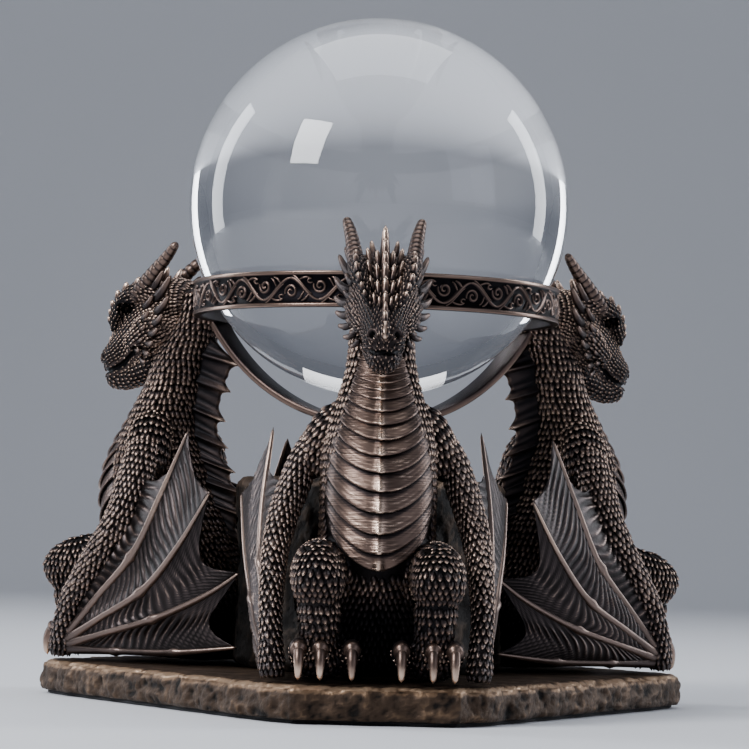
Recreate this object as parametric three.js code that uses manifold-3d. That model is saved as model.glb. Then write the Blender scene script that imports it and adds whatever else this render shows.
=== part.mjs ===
import * as THREE from 'three';
import Module from 'manifold-3d';
import { mergeVertices } from 'three/addons/utils/BufferGeometryUtils.js';

// Millimetres, +Z up. The origin is on the table, under the axis of the ball.
// A dragon is drawn in its own frame: f outward from the ball axis, s sideways, u above the plinth top.

const FELT = 0.8;
const PLINTH = 9.0;
const SEAM = 0.2;
const GAP = 0.3;
const FINE = 0.28;
const TOP = FELT + SEAM + PLINTH;

const TURN = 1.5;
const DRAGONS = [['front', 0, 0], ['right', 122, -1.5], ['left', -120, 0]];

const BALL_R = 55;
const BALL_U = 133.9;
const RING_TOP = 111;
const RING_BOTTOM = 101;
const RING_OUT = 53;
const RING_IN = 50.25;
const STRAP_R = 62.5;
const STRAP_T = 2;
const STRAP_W = 9;
const BOSS_R = 7;

const kit = await Module();
kit.setup();

function solid(geometry) {
  geometry.deleteAttribute('normal');
  geometry.deleteAttribute('uv');
  const joined = mergeVertices(geometry, 1e-3);
  const mesh = new kit.Mesh({
    numProp: 3,
    vertProperties: new Float32Array(joined.attributes.position.array),
    triVerts: new Uint32Array(joined.index.array),
  });
  mesh.merge();
  return new kit.Manifold(mesh);
}

function meshOf(body, name, colour, metal, rough) {
  const raw = body.simplify(FINE).getMesh();
  const geometry = new THREE.BufferGeometry();
  geometry.setAttribute('position', new THREE.BufferAttribute(new Float32Array(raw.vertProperties), 3));
  geometry.setIndex(new THREE.BufferAttribute(new Uint32Array(raw.triVerts), 1));
  geometry.computeVertexNormals();
  const skin = new THREE.MeshStandardMaterial({ color: colour, metalness: metal, roughness: rough });
  const mesh = new THREE.Mesh(geometry, skin);
  mesh.name = name;
  return mesh;
}

function all(list) {
  return list.reduce((sum, next) => sum.add(next));
}

// A row is [f, s, u, half size in the plane of the curve, half size across it].
function loft(rows, around, along, grow = 0, level = false) {
  const path = new THREE.CatmullRomCurve3(rows.map((r) => new THREE.Vector3(r[0], r[1], r[2])));
  const girth = new THREE.CatmullRomCurve3(rows.map((r) => new THREE.Vector3(r[3], r[4], 0)));
  const shape = new THREE.SphereGeometry(1, around, along);
  const spots = shape.attributes.position;
  for (let i = 0; i < spots.count; i += 1) {
    const v = new THREE.Vector3().fromBufferAttribute(spots, i);
    const t = Math.acos(THREE.MathUtils.clamp(-v.y, -1, 1)) / Math.PI;
    const reach = Math.hypot(v.x, v.z);
    const tangent = path.getTangent(t);
    const side = new THREE.Vector3(0, 1, 0);
    if (!level) side.addScaledVector(tangent, -tangent.y).normalize();
    const normal = level ? new THREE.Vector3(-1, 0, 0) : tangent.clone().cross(side);
    const size = girth.getPoint(t);
    const p = path.getPoint(t);
    if (reach > 1e-6) {
      p.addScaledVector(normal, (size.x + grow) * v.x / reach);
      p.addScaledVector(side, (size.y + grow) * v.z / reach);
    } else {
      p.addScaledVector(tangent, t < 0.5 ? -grow : grow);
    }
    spots.setXYZ(i, p.x, p.y, p.z);
  }
  return solid(shape);
}

function mirrored(rows) {
  return rows.map((r) => [r[0], -r[1], r[2], r[3], r[4]]);
}

// Upright plate cut from a side outline of [f, u] points, centred on s = 0.
function plate(points, thickness) {
  const outline = new THREE.Shape(points.map((p) => new THREE.Vector2(p[0], p[1])));
  const cut = new THREE.ExtrudeGeometry(outline, { depth: thickness, bevelEnabled: false });
  cut.translate(0, 0, -thickness / 2);
  cut.rotateX(Math.PI / 2);
  return solid(cut);
}

const TORSO = [
  [56, 0, 0.6, 18, 15], [56.5, 0, 4, 23.5, 18.6], [57.2, 0, 14, 24.2, 19], [61, 0, 24, 22.5, 18],
  [66.4, 0, 33, 21.9, 17.4], [69.4, 0, 42, 20.4, 17.2], [71.9, 0, 50, 18.4, 16.9], [72.3, 0, 57, 16.7, 16.2],
  [72.2, 0, 64, 13.8, 14.6], [71.2, 0, 70, 11.2, 12.6], [69.8, 0, 76, 9.7, 10.8], [67.4, 0, 84, 8.4, 8.8],
  [65.5, 0, 91, 8, 8.3], [62.6, 0, 97, 7.2, 7.8], [59.6, 0, 103, 7.4, 7.6], [58.6, 0, 109, 6.6, 6.6],
  [58.6, 0, 111.4, 5, 5.2],
];
const SHOULDER = [
  [69, 8, 71, 4, 4], [67.6, 13, 66, 6.6, 5.6], [66.8, 16, 60, 7, 5], [66.4, 17, 53, 5, 3.6],
];
const THIGH = [
  [56, 13, 13, 9, 6], [64, 14, 21, 10.5, 7], [75, 15, 27, 9.6, 7], [86, 15.5, 28.6, 8.4, 6.8],
  [93.4, 15.6, 26.6, 7.9, 6.7], [98, 15.6, 24, 5.2, 4.9],
];
const SHIN = [
  [93, 15.4, 24.5, 6.2, 5.6], [91.4, 15.1, 17, 5.4, 5.2], [89.4, 14.7, 11, 4.6, 4.8], [88, 14.4, 5.4, 4.6, 5.4],
  [85, 14.4, 2.6, 2.2, 4.4],
];
const TOES = [[9.6, 6.4], [14.4, 14.6], [18.8, 20.2]];
const CREST = [
  [64, 99], [57, 98], [44.6, 88.4], [49.6, 84.9], [48.3, 80.3], [52.1, 77.9], [49.9, 71.4], [52.8, 69.3],
  [48.6, 63.5], [50.8, 61.5], [45.7, 56.3], [47.5, 53.9], [42.4, 50.1], [45.2, 47.8], [42.8, 43.9],
  [45.4, 41.2], [42.5, 36.2], [46, 33], [66, 33], [66, 70], [66, 90],
];

function body(grow) {
  const parts = [loft(TORSO, 14, 15, grow, true)];
  for (const rows of [SHOULDER, THIGH, SHIN]) {
    const steps = rows === THIGH ? 7 : 5;
    parts.push(loft(rows, 8, steps, grow));
    parts.push(loft(mirrored(rows), 8, steps, grow));
  }
  for (const way of [1, -1]) {
    for (const [root, tip] of TOES) {
      const toe = [
        [85, way * root, 4.2, 3.2, 3], [90.5, way * (root + tip) / 2, 6.8, 3, 2.8],
        [94.6, way * tip, 7.8, 2.3, 2.2], [97, way * tip, 4.6, 1.3, 1.3], [97.4, way * tip, 1.1, 0.5, 0.5],
      ];
      parts.push(loft(toe, 5, 5, grow));
    }
  }
  parts.push(plate(CREST, 2.6 + 2 * grow));
  return all(parts);
}

const SKULL = [
  [59.5, 0, 104.5, 5, 6], [63.5, 0, 104.8, 8.8, 8.4], [68, 0, 103.6, 11.4, 9.4], [73, 0, 100.6, 12.4, 9.6],
  [78, 0, 97, 10.8, 8.4], [82.4, 0, 94, 8.6, 6.8], [86.2, 0, 91.2, 6.6, 5.6], [89.4, 0, 89.2, 5.2, 5.4],
  [91.4, 0, 87.8, 3.8, 4.2],
];
const JAW = [
  [72, 0, 90.4, 4, 6], [78, 0, 86.4, 3.6, 5], [84, 0, 83.6, 3, 4.2], [88.6, 0, 82.8, 2.2, 3],
];
const HORN = [
  [76, 5.6, 106, 3.4, 3.4], [72, 6.6, 111.6, 2.9, 2.9], [68.4, 7.6, 116, 2.4, 2.4], [64.8, 9, 120.4, 1.8, 1.8],
  [61.5, 10.8, 124.8, 0.8, 0.8],
];
const FIN = [[76, 0, 106, 3.4, 2.4], [71.5, 0, 113.6, 2.6, 1.6], [66, 0, 121.7, 0.6, 0.5]];
const BROW = [
  [68, 4.8, 107.5, 3.6, 3.6], [74, 5.4, 108.6, 4, 3.8], [80, 5.8, 107, 4, 3.4], [84.2, 5.4, 103, 2.8, 2.6],
  [86.6, 4.6, 98.5, 1.4, 1.4],
];
const FRILL = [
  [[69.5, 8, 109.6], [61.6, 11.8, 116], 2], [[68.6, 8.4, 106.4], [62.6, 12.8, 110.6], 1.8],
  [[68.8, 8.6, 103], [63.6, 13.2, 105], 1.7], [[69.6, 8.6, 99.8], [64.6, 12.8, 99.8], 1.6],
  [[71, 8.2, 96.4], [66.6, 12, 95], 1.5],
];

function head() {
  const parts = [loft(SKULL, 12, 9), loft(FIN, 5, 4), loft(JAW, 7, 5)];
  for (const rows of [HORN, BROW]) {
    parts.push(loft(rows, 6, 4));
    parts.push(loft(mirrored(rows), 6, 4));
  }
  for (const way of [1, -1]) {
    for (const [root, tip, r] of FRILL) {
      const mid = [0, 1, 2].map((k) => (root[k] * 0.45 + tip[k] * 0.55));
      const rows = [
        [root[0], way * root[1], root[2], r, r * 0.8], [mid[0], way * mid[1], mid[2], r * 0.75, r * 0.6],
        [tip[0], way * tip[1], tip[2], 0.4, 0.4],
      ];
      parts.push(loft(rows, 4, 3));
    }
  }
  return all(parts);
}

const ARM = [
  [66.8, 17.8, 63.5, 4.6, 3.2], [66.8, 20.4, 58, 5.2, 3.7], [67.2, 22.6, 52, 5.4, 3.9], [68.6, 25, 44, 5, 3.8],
  [73, 26.9, 35.5, 4.1, 3.4], [79, 27.6, 26.5, 3.6, 3.1], [84.2, 27.8, 18, 3.3, 2.9], [87, 27.4, 10, 3.2, 2.9],
  [87.8, 27, 4, 3.4, 3.3], [88, 26.8, 0.8, 2.6, 2.8],
];
const FINGERS = [
  [[86.5, 27.4, 6.4, 1.9], [74, 29.4, 19, 1.5], [61, 31, 32, 1.5], [52.5, 30.6, 49, 1.1], [45, 28.6, 67.5, 0.6]],
  [[86.5, 27.8, 5.4, 1.9], [72, 31, 12.8, 1.5], [56, 33, 21.5, 1.5], [43, 35.4, 34.5, 1.1], [32, 37, 49.5, 0.6]],
  [[86.5, 27.8, 4.4, 1.9], [70, 30.6, 8.6, 1.5], [52, 31.8, 13.6, 1.5], [35, 31.4, 21, 1.2], [25.6, 30.4, 27, 0.6]],
  [[86.5, 27.4, 3.6, 1.9], [68, 29.6, 3.6, 1.5], [46, 30.4, 4, 1.3], [26.4, 29.4, 6, 0.6]],
];

function curveOf(rows) {
  return new THREE.CatmullRomCurve3(rows.map((r) => new THREE.Vector3(r[0], r[1], r[2])));
}

// Thin web between two fingers: a runs from wrist to tip, b from one finger to the other.
function web(one, two, endOne, endTwo, dip, thickness) {
  const shape = new THREE.BoxGeometry(1, 1, 1, 6, 2, 1);
  const spots = shape.attributes.position;
  const place = (a, b) => {
    const reach = a * (1 - dip * 4 * b * (1 - b));
    const start = 0.05 + 0.95 * reach;
    return one.getPoint(start * endOne).lerp(two.getPoint(start * endTwo), b);
  };
  for (let i = 0; i < spots.count; i += 1) {
    const a = spots.getX(i) + 0.5;
    const b = spots.getY(i) + 0.5;
    const p = place(a, b);
    const alongA = place(Math.min(1, a + 0.02), b).sub(place(Math.max(0, a - 0.02), b));
    const alongB = place(a, Math.min(1, b + 0.05)).sub(place(a, Math.max(0, b - 0.05)));
    const normal = alongA.cross(alongB).normalize();
    p.addScaledVector(normal, spots.getZ(i) * thickness);
    spots.setXYZ(i, p.x, p.y, p.z);
  }
  return solid(shape);
}

function wing(way) {
  const flip = (rows) => rows.map((r) => [r[0], way * r[1], ...r.slice(2)]);
  const arm = flip(ARM);
  const bones = FINGERS.map(flip);
  const lines = [curveOf(arm.slice(1, 9).reverse()), ...bones.map(curveOf)];
  const parts = [loft(arm, 7, 8)];
  for (const rows of bones) {
    parts.push(loft(rows.map((r) => [r[0], r[1], r[2], r[3], r[3]]), 4, 5));
  }
  const ends = [[0.98, 0.86, 0.08], [1, 1, 0.05], [1, 1, 0.2], [1, 1, 0.2]];
  ends.forEach(([endOne, endTwo, dip], k) => {
    const pair = way > 0 ? [lines[k], lines[k + 1], endOne, endTwo] : [lines[k + 1], lines[k], endTwo, endOne];
    parts.push(web(...pair, dip, 1.3));
  });
  return all(parts);
}

function ring(grow) {
  const half = 1.1;
  const inner = RING_IN - grow;
  const outer = RING_OUT + grow;
  const low = RING_BOTTOM - grow;
  const high = RING_TOP + grow;
  const sink = grow > 0 ? 0 : 0.55;
  const edge = [
    [inner + 0.4, low], [outer, low], [outer, low + half], [outer - sink, low + half + 0.4],
    [outer - sink, high - half - 0.4], [outer, high - half], [outer, high],
    [inner + 0.5, high], [inner, high - 0.6], [inner, low + 0.5],
  ];
  const line = edge.map((p) => new THREE.Vector2(p[0], p[1]));
  line.push(line[0].clone());
  const turned = new THREE.LatheGeometry(line, 48);
  turned.rotateX(Math.PI / 2);
  return solid(turned);
}

function strap(grow) {
  const shape = new THREE.BoxGeometry(1, 1, 1, 4, 1, 14);
  const spots = shape.attributes.position;
  const near = Math.asin((BOSS_R + GAP - grow) / STRAP_R);
  const far = Math.acos((BALL_U - RING_BOTTOM + GAP - grow) / (STRAP_R + 1));
  for (let i = 0; i < spots.count; i += 1) {
    const w = spots.getX(i) * (STRAP_W + 2 * grow);
    const rim = Math.abs(spots.getX(i)) > 0.3 ? 0.45 : 0;
    const turn = near + (far - near) * (0.5 - spots.getZ(i));
    const out = spots.getY(i) > 0;
    const r = STRAP_R + (out ? STRAP_T / 2 + grow - (rim ? 0 : 0.35) : -STRAP_T / 2 - grow);
    spots.setXYZ(i, r * Math.sin(turn), w, BALL_U - r * Math.cos(turn));
  }
  return solid(shape);
}

function boss() {
  const shape = new THREE.CylinderGeometry(BOSS_R, BOSS_R - 0.8, 2.6, 32);
  shape.rotateX(Math.PI / 2);
  shape.translate(0, 0, BALL_U - STRAP_R - 0.3);
  return solid(shape);
}

const CORNERS = [[86, -33], [100, -22], [100, 22], [86, 33]];

function outline(inset) {
  const corners = [];
  for (const [, angle] of [DRAGONS[0], DRAGONS[1], DRAGONS[2]]) {
    const a = THREE.MathUtils.degToRad(angle + TURN - 90);
    for (const [f, s] of CORNERS) {
      const pull = 1 - inset / 80;
      corners.push(new THREE.Vector2(f * Math.cos(a) - s * Math.sin(a), f * Math.sin(a) + s * Math.cos(a)).multiplyScalar(pull));
    }
  }
  const points = [];
  corners.forEach((here, k) => {
    const next = corners[(k + 1) % corners.length];
    const steps = Math.max(2, Math.round(here.distanceTo(next) / 9));
    for (let j = 0; j < steps; j += 1) {
      const p = here.clone().lerp(next, j / steps);
      const wave = 0.6 * Math.sin(p.x * 0.31 + p.y * 0.17) + 0.5 * Math.sin(p.y * 0.43 - p.x * 0.12);
      points.push(p.multiplyScalar(1 + wave / 90));
    }
  });
  return new THREE.Shape(points);
}

function slab(low, high, inset, bevel) {
  const options = {
    depth: high - low - 2 * bevel, bevelEnabled: bevel > 0, bevelThickness: bevel, bevelSize: bevel,
    bevelOffset: -bevel, bevelSegments: 1,
  };
  const cut = new THREE.ExtrudeGeometry(outline(inset), options);
  cut.translate(0, 0, low + bevel);
  return solid(cut);
}

// Rock column between the three backs, with a shallow dish on top.
function rock() {
  const shape = new THREE.SphereGeometry(1, 36, 12);
  const spots = shape.attributes.position;
  const rows = [
    [0, 0.3], [0.94, 0.3], [1, 2.5], [0.99, 12], [0.97, 24], [0.98, 36], [1.0, 46], [1.0, 53], [0.95, 55.4],
    [0.82, 54.6], [0.5, 53], [0.25, 52.6], [0, 52.5],
  ];
  for (let i = 0; i < spots.count; i += 1) {
    const v = new THREE.Vector3().fromBufferAttribute(spots, i);
    const k = Math.round(12 * Math.acos(THREE.MathUtils.clamp(-v.y, -1, 1)) / Math.PI);
    const turn = Math.atan2(v.z, v.x);
    const lobe = 38.4 + 3.2 * Math.cos(3 * turn);
    const chip = 0.7 * Math.sin(11 * turn + k) + 0.6 * Math.sin(17 * turn - 2 * k);
    const r = rows[k][0] * (lobe + chip);
    spots.setXYZ(i, r * Math.cos(turn), -r * Math.sin(turn), rows[k][1]);
  }
  return solid(shape);
}

function turned(shape, angle) {
  return shape.rotate([0, 0, angle + TURN - 90]).translate([0, 0, TOP]);
}

const group = new THREE.Group();
group.name = 'crystal_ball_on_dragon_stand';
const BRONZE = 0x4a3a30;

const hoop = ring(0);
const hoopRoom = ring(GAP).add(solid(new THREE.CylinderGeometry(RING_OUT, RING_OUT, 8, 72).rotateX(Math.PI / 2).translate(0, 0, 106)));
const fleshRoom = body(GAP);

for (const [name, angle, push] of DRAGONS) {
  const room = fleshRoom.translate([push, 0, 0]);
  const flesh = body(0).translate([push, 0, 0]).subtract(strap(GAP)).subtract(hoopRoom);
  const crown = head().translate([push, 0, 0]).subtract(room).subtract(hoopRoom);
  group.add(meshOf(turned(flesh, angle), `dragon_body_${name}`, BRONZE, 0.8, 0.45));
  const bones = crown.decompose().sort((a, b) => b.volume() - a.volume())[0];
  group.add(meshOf(turned(bones, angle), `dragon_head_${name}`, BRONZE, 0.8, 0.45));
  for (const [side, way] of [['a', 1], ['b', -1]]) {
    const cut = wing(way).translate([push, 0, 0]).subtract(room).decompose().sort((a, b) => b.volume() - a.volume())[0];
    group.add(meshOf(turned(cut, angle), `dragon_wing_${name}_${side}`, BRONZE, 0.8, 0.45));
  }
  group.add(meshOf(turned(strap(0).subtract(hoopRoom), angle), `cradle_strap_${name}`, 0x6b4f3c, 0.9, 0.35));
}
group.add(meshOf(hoop.translate([0, 0, TOP]), 'support_ring', 0x6b4f3c, 0.9, 0.35));
group.add(meshOf(boss().translate([0, 0, TOP]), 'cradle_boss', 0x6b4f3c, 0.9, 0.35));

let core = rock().rotate([0, 0, TURN - 90]).translate([0, 0, TOP]);
for (const [, angle, push] of DRAGONS) core = core.subtract(turned(fleshRoom.translate([push, 0, 0]), angle));
const coreSolid = core.decompose().sort((a, b) => b.volume() - a.volume())[0];
group.add(meshOf(coreSolid, 'rock_core', 0x3d3129, 0.6, 0.7));
group.add(meshOf(slab(FELT + SEAM, TOP, 0, 1.2), 'plinth', 0x5c4632, 0.7, 0.6));
group.add(meshOf(slab(0, FELT, 3, 0), 'felt_pad', 0x1c1c1e, 0, 0.95));

const globe = new THREE.SphereGeometry(BALL_R, 36, 18);
globe.rotateX(Math.PI / 2);
globe.translate(0, 0, TOP + BALL_U);
group.add(meshOf(solid(globe), 'crystal_ball', 0xe8eef2, 0, 0.05));

export default group;
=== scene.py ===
import math
import bpy
import bmesh
import numpy as np
from mathutils import Matrix, Vector, noise
from mathutils.bvhtree import BVHTree
from mathutils.kdtree import KDTree


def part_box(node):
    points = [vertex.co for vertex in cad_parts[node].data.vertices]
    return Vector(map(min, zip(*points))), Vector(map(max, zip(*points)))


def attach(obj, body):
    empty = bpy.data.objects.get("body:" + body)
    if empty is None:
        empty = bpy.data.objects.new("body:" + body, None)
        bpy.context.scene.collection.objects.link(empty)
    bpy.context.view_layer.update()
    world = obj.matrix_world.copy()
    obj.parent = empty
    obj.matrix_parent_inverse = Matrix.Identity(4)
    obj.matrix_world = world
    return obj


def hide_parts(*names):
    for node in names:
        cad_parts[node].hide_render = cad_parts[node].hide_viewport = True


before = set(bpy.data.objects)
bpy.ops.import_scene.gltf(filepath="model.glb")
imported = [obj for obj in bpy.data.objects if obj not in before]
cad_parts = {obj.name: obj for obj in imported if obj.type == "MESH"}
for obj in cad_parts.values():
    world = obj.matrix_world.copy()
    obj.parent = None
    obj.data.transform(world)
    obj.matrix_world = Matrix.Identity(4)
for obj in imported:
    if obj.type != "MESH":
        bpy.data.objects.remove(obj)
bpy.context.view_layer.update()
mm = 0.001

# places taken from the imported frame, in millimetres


def boxOf(node):
    low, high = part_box(node)
    return np.array(low) / mm, np.array(high) / mm


plinthLow, plinthHigh = boxOf("plinth")
ringLow, ringHigh = boxOf("support_ring")
ballLow, ballHigh = boxOf("crystal_ball")
feltLow, feltHigh = boxOf("felt_pad")
plinthTop = plinthHigh[2]
ballCentre = (ballLow + ballHigh) / 2
ballRadius = (ballHigh[2] - ballLow[2]) / 2
ballRise = ballCentre[2] - plinthTop
ringOut = (ringHigh[0] - ringLow[0]) / 2
ringTop = ringHigh[2] - plinthTop
ringBottom = ringLow[2] - plinthTop

stand = {"turn": 1.5, "bandRim": 1.1}
dragons = {"front": (0.0, 0.0), "right": (122.0, -1.5), "left": (-120.0, 0.0)}


def standTurn(angle):
    return Matrix.Translation((0, 0, plinthTop * mm)) @ Matrix.Rotation(math.radians(angle + stand["turn"] - 90), 4, "Z") @ Matrix.Scale(mm, 4)


def dragonPlace(side):
    angle, push = dragons[side]
    return standTurn(angle) @ Matrix.Translation((push, 0, 0))


# mesh helpers


def splineAt(rows, t):
    rows = np.asarray(rows, float)
    n = len(rows)
    x = np.clip(np.asarray(t, float), 0, 1) * (n - 1)
    i = np.minimum(x.astype(int), n - 2)
    w = (x - i)[..., None]
    padded = np.vstack([2 * rows[0] - rows[1], rows, 2 * rows[-1] - rows[-2]])
    a, b, c, d = padded[i], padded[i + 1], padded[i + 2], padded[i + 3]
    return 0.5 * (2 * b + (c - a) * w + (2 * a - 5 * b + 4 * c - d) * w**2 + (3 * b - a - 3 * c + d) * w**3)


def unit(v):
    return v / np.maximum(np.linalg.norm(v, axis=-1, keepdims=True), 1e-9)


def loftPoint(rows, t, turn, level=False, cap=0.05):
    core = splineAt(rows, t)
    ahead = splineAt(rows, np.clip(t + 0.004, 0, 1)) - splineAt(rows, np.clip(t - 0.004, 0, 1))
    tangent = unit(ahead[..., :3])
    side = np.zeros_like(tangent)
    side[..., 1] = 1
    if level:
        normal = np.zeros_like(tangent)
        normal[..., 0] = 1
    else:
        side = unit(side - tangent * tangent[..., 1:2])
        normal = np.cross(tangent, side)
    edge = np.clip(np.minimum(t, 1 - t) / cap, 0, 1)
    fade = np.sqrt(1 - (1 - edge) ** 2)
    a = (np.maximum(core[..., 3], 0.05) * fade * np.cos(turn))[..., None]
    b = (np.maximum(core[..., 4], 0.05) * fade * np.sin(turn))[..., None]
    return core[..., :3] + normal * a + side * b


def loftMesh(rows, around, along, level=False, cap=0.05, swell=None):
    t = 0.5 - 0.5 * np.cos(np.pi * (np.arange(1, along) / along)) if cap > 0.2 else np.arange(1, along) / along
    turn = np.arange(around) * 2 * np.pi / around
    tt, aa = np.meshgrid(t, turn, indexing="ij")
    points = loftPoint(rows, tt, aa, level, cap)
    if swell is not None:
        core = splineAt(rows, tt)[..., :3]
        points = core + (points - core) * swell(tt, aa)[..., None]
    verts = [splineAt(rows, np.array([0.0]))[0, :3]] + list(points.reshape(-1, 3))
    verts.append(splineAt(rows, np.array([1.0]))[0, :3])
    last = len(verts) - 1
    faces = []
    for j in range(around):
        k = (j + 1) % around
        faces.append((0, 1 + k, 1 + j))
        for i in range(along - 2):
            p = 1 + i * around
            faces.append((p + j, p + k, p + around + k, p + around + j))
        p = 1 + (along - 2) * around
        faces.append((last, p + j, p + k))
    return np.array(verts), faces


def gridFaces(rows, cols, wrap=False):
    faces = []
    for i in range(rows - 1):
        for j in range(cols if wrap else cols - 1):
            k = (j + 1) % cols
            faces.append((i * cols + j, i * cols + k, (i + 1) * cols + k, (i + 1) * cols + j))
    return faces


def meshOf(name, verts, faces, wearAndShade=None, uv=None, fixNormals=True):
    data = bpy.data.meshes.new(name)
    data.from_pydata([tuple(v) for v in verts], [], faces)
    if wearAndShade is not None:
        layer = data.attributes.new("wearAndShade", "FLOAT", "POINT")
        layer.data.foreach_set("value", np.broadcast_to(np.asarray(wearAndShade, float), len(verts)).ravel())
    if uv is not None:
        layer = data.uv_layers.new(name="UVMap")
        for loop in data.loops:
            layer.data[loop.index].uv = uv[loop.vertex_index]
    if fixNormals:
        work = bmesh.new()
        work.from_mesh(data)
        bmesh.ops.recalc_face_normals(work, faces=work.faces)
        work.to_mesh(data)
        work.free()
    data.shade_smooth()
    ob = bpy.data.objects.new(name, data)
    bpy.context.scene.collection.objects.link(ob)
    return ob


def merged(name, parts):
    with bpy.context.temp_override(active_object=parts[0], selected_editable_objects=parts, object=parts[0]):
        bpy.ops.object.join()
    parts[0].name = name
    parts[0].data.name = name
    return parts[0]


def baked(ob):
    graph = bpy.context.evaluated_depsgraph_get()
    data = bpy.data.meshes.new_from_object(ob.evaluated_get(graph), preserve_all_data_layers=True, depsgraph=graph)
    ob.modifiers.clear()
    ob.data = data
    return ob


def fused(name, shapes, voxel, smooth=6):
    ob = merged(name, [meshOf(name, v, f) for v, f in shapes])
    skin = ob.modifiers.new("Skin", "REMESH")
    skin.mode = "VOXEL"
    skin.voxel_size = voxel
    soft = ob.modifiers.new("Soft", "SMOOTH")
    soft.factor = 0.5
    soft.iterations = smooth
    baked(ob)
    ob.data.shade_smooth()
    return ob


def pointsOf(ob):
    flat = np.empty(len(ob.data.vertices) * 3)
    ob.data.vertices.foreach_get("co", flat)
    return flat.reshape(-1, 3)


def normalsOf(ob):
    flat = np.empty(len(ob.data.vertices) * 3)
    ob.data.vertices.foreach_get("normal", flat)
    return flat.reshape(-1, 3)


def wearOf(ob):
    values = np.empty(len(ob.data.vertices))
    ob.data.attributes["wearAndShade"].data.foreach_get("value", values)
    return values


def setPoints(ob, points):
    ob.data.vertices.foreach_set("co", points.ravel())
    ob.data.update()


def setWear(ob, values):
    layer = ob.data.attributes.get("wearAndShade") or ob.data.attributes.new("wearAndShade", "FLOAT", "POINT")
    layer.data.foreach_set("value", np.broadcast_to(np.asarray(values, float), len(ob.data.vertices)).ravel())


def treeOf(ob):
    work = bmesh.new()
    work.from_mesh(ob.data)
    tree = BVHTree.FromBMesh(work)
    work.free()
    return tree


def mirrored(rows):
    return [[r[0], -r[1], *r[2:]] for r in rows]


# materials


def newMaterial(name):
    mat = bpy.data.materials.new(name)
    mat.use_nodes = True
    nodes = mat.node_tree.nodes
    return mat, nodes, mat.node_tree.links, nodes["Principled BSDF"]


def agedBronze(name, look):
    mat, nodes, links, shader = newMaterial(name)
    place = nodes.new("ShaderNodeTexCoord")
    # the colour mask read here holds rubbed wear and recess patina, and also painted shade under the knees and under
    # the plate lips
    wornAndShaded = nodes.new("ShaderNodeAttribute")
    wornAndShaded.attribute_name = "wearAndShade"
    blotch = nodes.new("ShaderNodeTexNoise")
    blotch.inputs["Scale"].default_value = look["blotchScale"]
    blotch.inputs["Detail"].default_value = 5
    links.new(place.outputs["Object"], blotch.inputs["Vector"])
    shift = nodes.new("ShaderNodeMath")
    shift.operation = "MULTIPLY_ADD"
    shift.inputs[1].default_value = look["blotchAmount"]
    links.new(blotch.outputs["Fac"], shift.inputs[0])
    links.new(wornAndShaded.outputs["Fac"], shift.inputs[2])
    ramp = nodes.new("ShaderNodeValToRGB")
    ramp.color_ramp.interpolation = "EASE"
    stops = look["stops"]
    while len(ramp.color_ramp.elements) < len(stops):
        ramp.color_ramp.elements.new(0.5)
    for stop, (where, colour) in zip(ramp.color_ramp.elements, stops):
        stop.position = where
        stop.color = (*colour, 1)
    grain = nodes.new("ShaderNodeTexNoise")
    grain.inputs["Scale"].default_value = look["grainScale"]
    grain.inputs["Detail"].default_value = 4
    tone = nodes.new("ShaderNodeMath")
    tone.operation = "MULTIPLY_ADD"
    tone.inputs[1].default_value = look.get("streakTone", 0)
    links.new(grain.outputs["Fac"], tone.inputs[0])
    links.new(shift.outputs[0], tone.inputs[2])
    links.new(tone.outputs[0], ramp.inputs["Fac"])
    links.new(ramp.outputs["Color"], shader.inputs["Base Color"])
    rough = nodes.new("ShaderNodeMapRange")
    rough.inputs["From Min"].default_value = 0.2
    rough.inputs["From Max"].default_value = 1.1
    rough.inputs["To Min"].default_value = look["roughDark"]
    rough.inputs["To Max"].default_value = look["roughBright"]
    links.new(tone.outputs[0], rough.inputs["Value"])
    links.new(rough.outputs["Result"], shader.inputs["Roughness"])
    shader.inputs["Metallic"].default_value = look["metallic"]
    if look.get("streak"):
        stretch = nodes.new("ShaderNodeMapping")
        stretch.inputs["Scale"].default_value = look["streak"]
        links.new(place.outputs["UV"], stretch.inputs["Vector"])
        links.new(stretch.outputs["Vector"], grain.inputs["Vector"])
    else:
        links.new(place.outputs["Object"], grain.inputs["Vector"])
    bump = nodes.new("ShaderNodeBump")
    bump.inputs["Strength"].default_value = look["grainStrength"]
    bump.inputs["Distance"].default_value = look["grainDepth"]
    links.new(grain.outputs["Fac"], bump.inputs["Height"])
    links.new(bump.outputs["Normal"], shader.inputs["Normal"])
    return mat


bronzeStops = [(0.2, (0.005, 0.0045, 0.0055)), (0.5, (0.033, 0.024, 0.023)), (0.78, (0.155, 0.104, 0.083)), (1.08, (0.66, 0.48, 0.37))]
scaleBronze = agedBronze("scaleBronze", {
    "stops": bronzeStops, "blotchScale": 90, "blotchAmount": 0.35, "metallic": 0.9, "roughDark": 0.5,
    "roughBright": 0.25, "grainScale": 1400, "grainStrength": 0.25, "grainDepth": 0.0002,
})
plateBronze = agedBronze("plateBronze", {
    "stops": bronzeStops, "blotchScale": 60, "blotchAmount": 0.25, "metallic": 0.95, "roughDark": 0.45, "roughBright": 0.22,
    "grainScale": 1, "grainStrength": 0.55, "grainDepth": 0.0004, "streak": (0.1, 2.4, 1), "streakTone": 0.42,
})
webBronze = agedBronze("webBronze", {
    "stops": [(0.15, (0.012, 0.010, 0.010)), (0.42, (0.055, 0.043, 0.042)), (0.75, (0.22, 0.16, 0.135)), (1.08, (0.66, 0.47, 0.36))],
    "blotchScale": 70, "blotchAmount": 0.35, "metallic": 0.9, "roughDark": 0.4, "roughBright": 0.26,
    "grainScale": 900, "grainStrength": 0.3, "grainDepth": 0.0003,
})
ringBronze = agedBronze("ringBronze", {
    "stops": bronzeStops, "blotchScale": 50, "blotchAmount": 0.25, "metallic": 1.0, "roughDark": 0.45,
    "roughBright": 0.22, "grainScale": 1100, "grainStrength": 0.15, "grainDepth": 0.0002,
})
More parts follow.
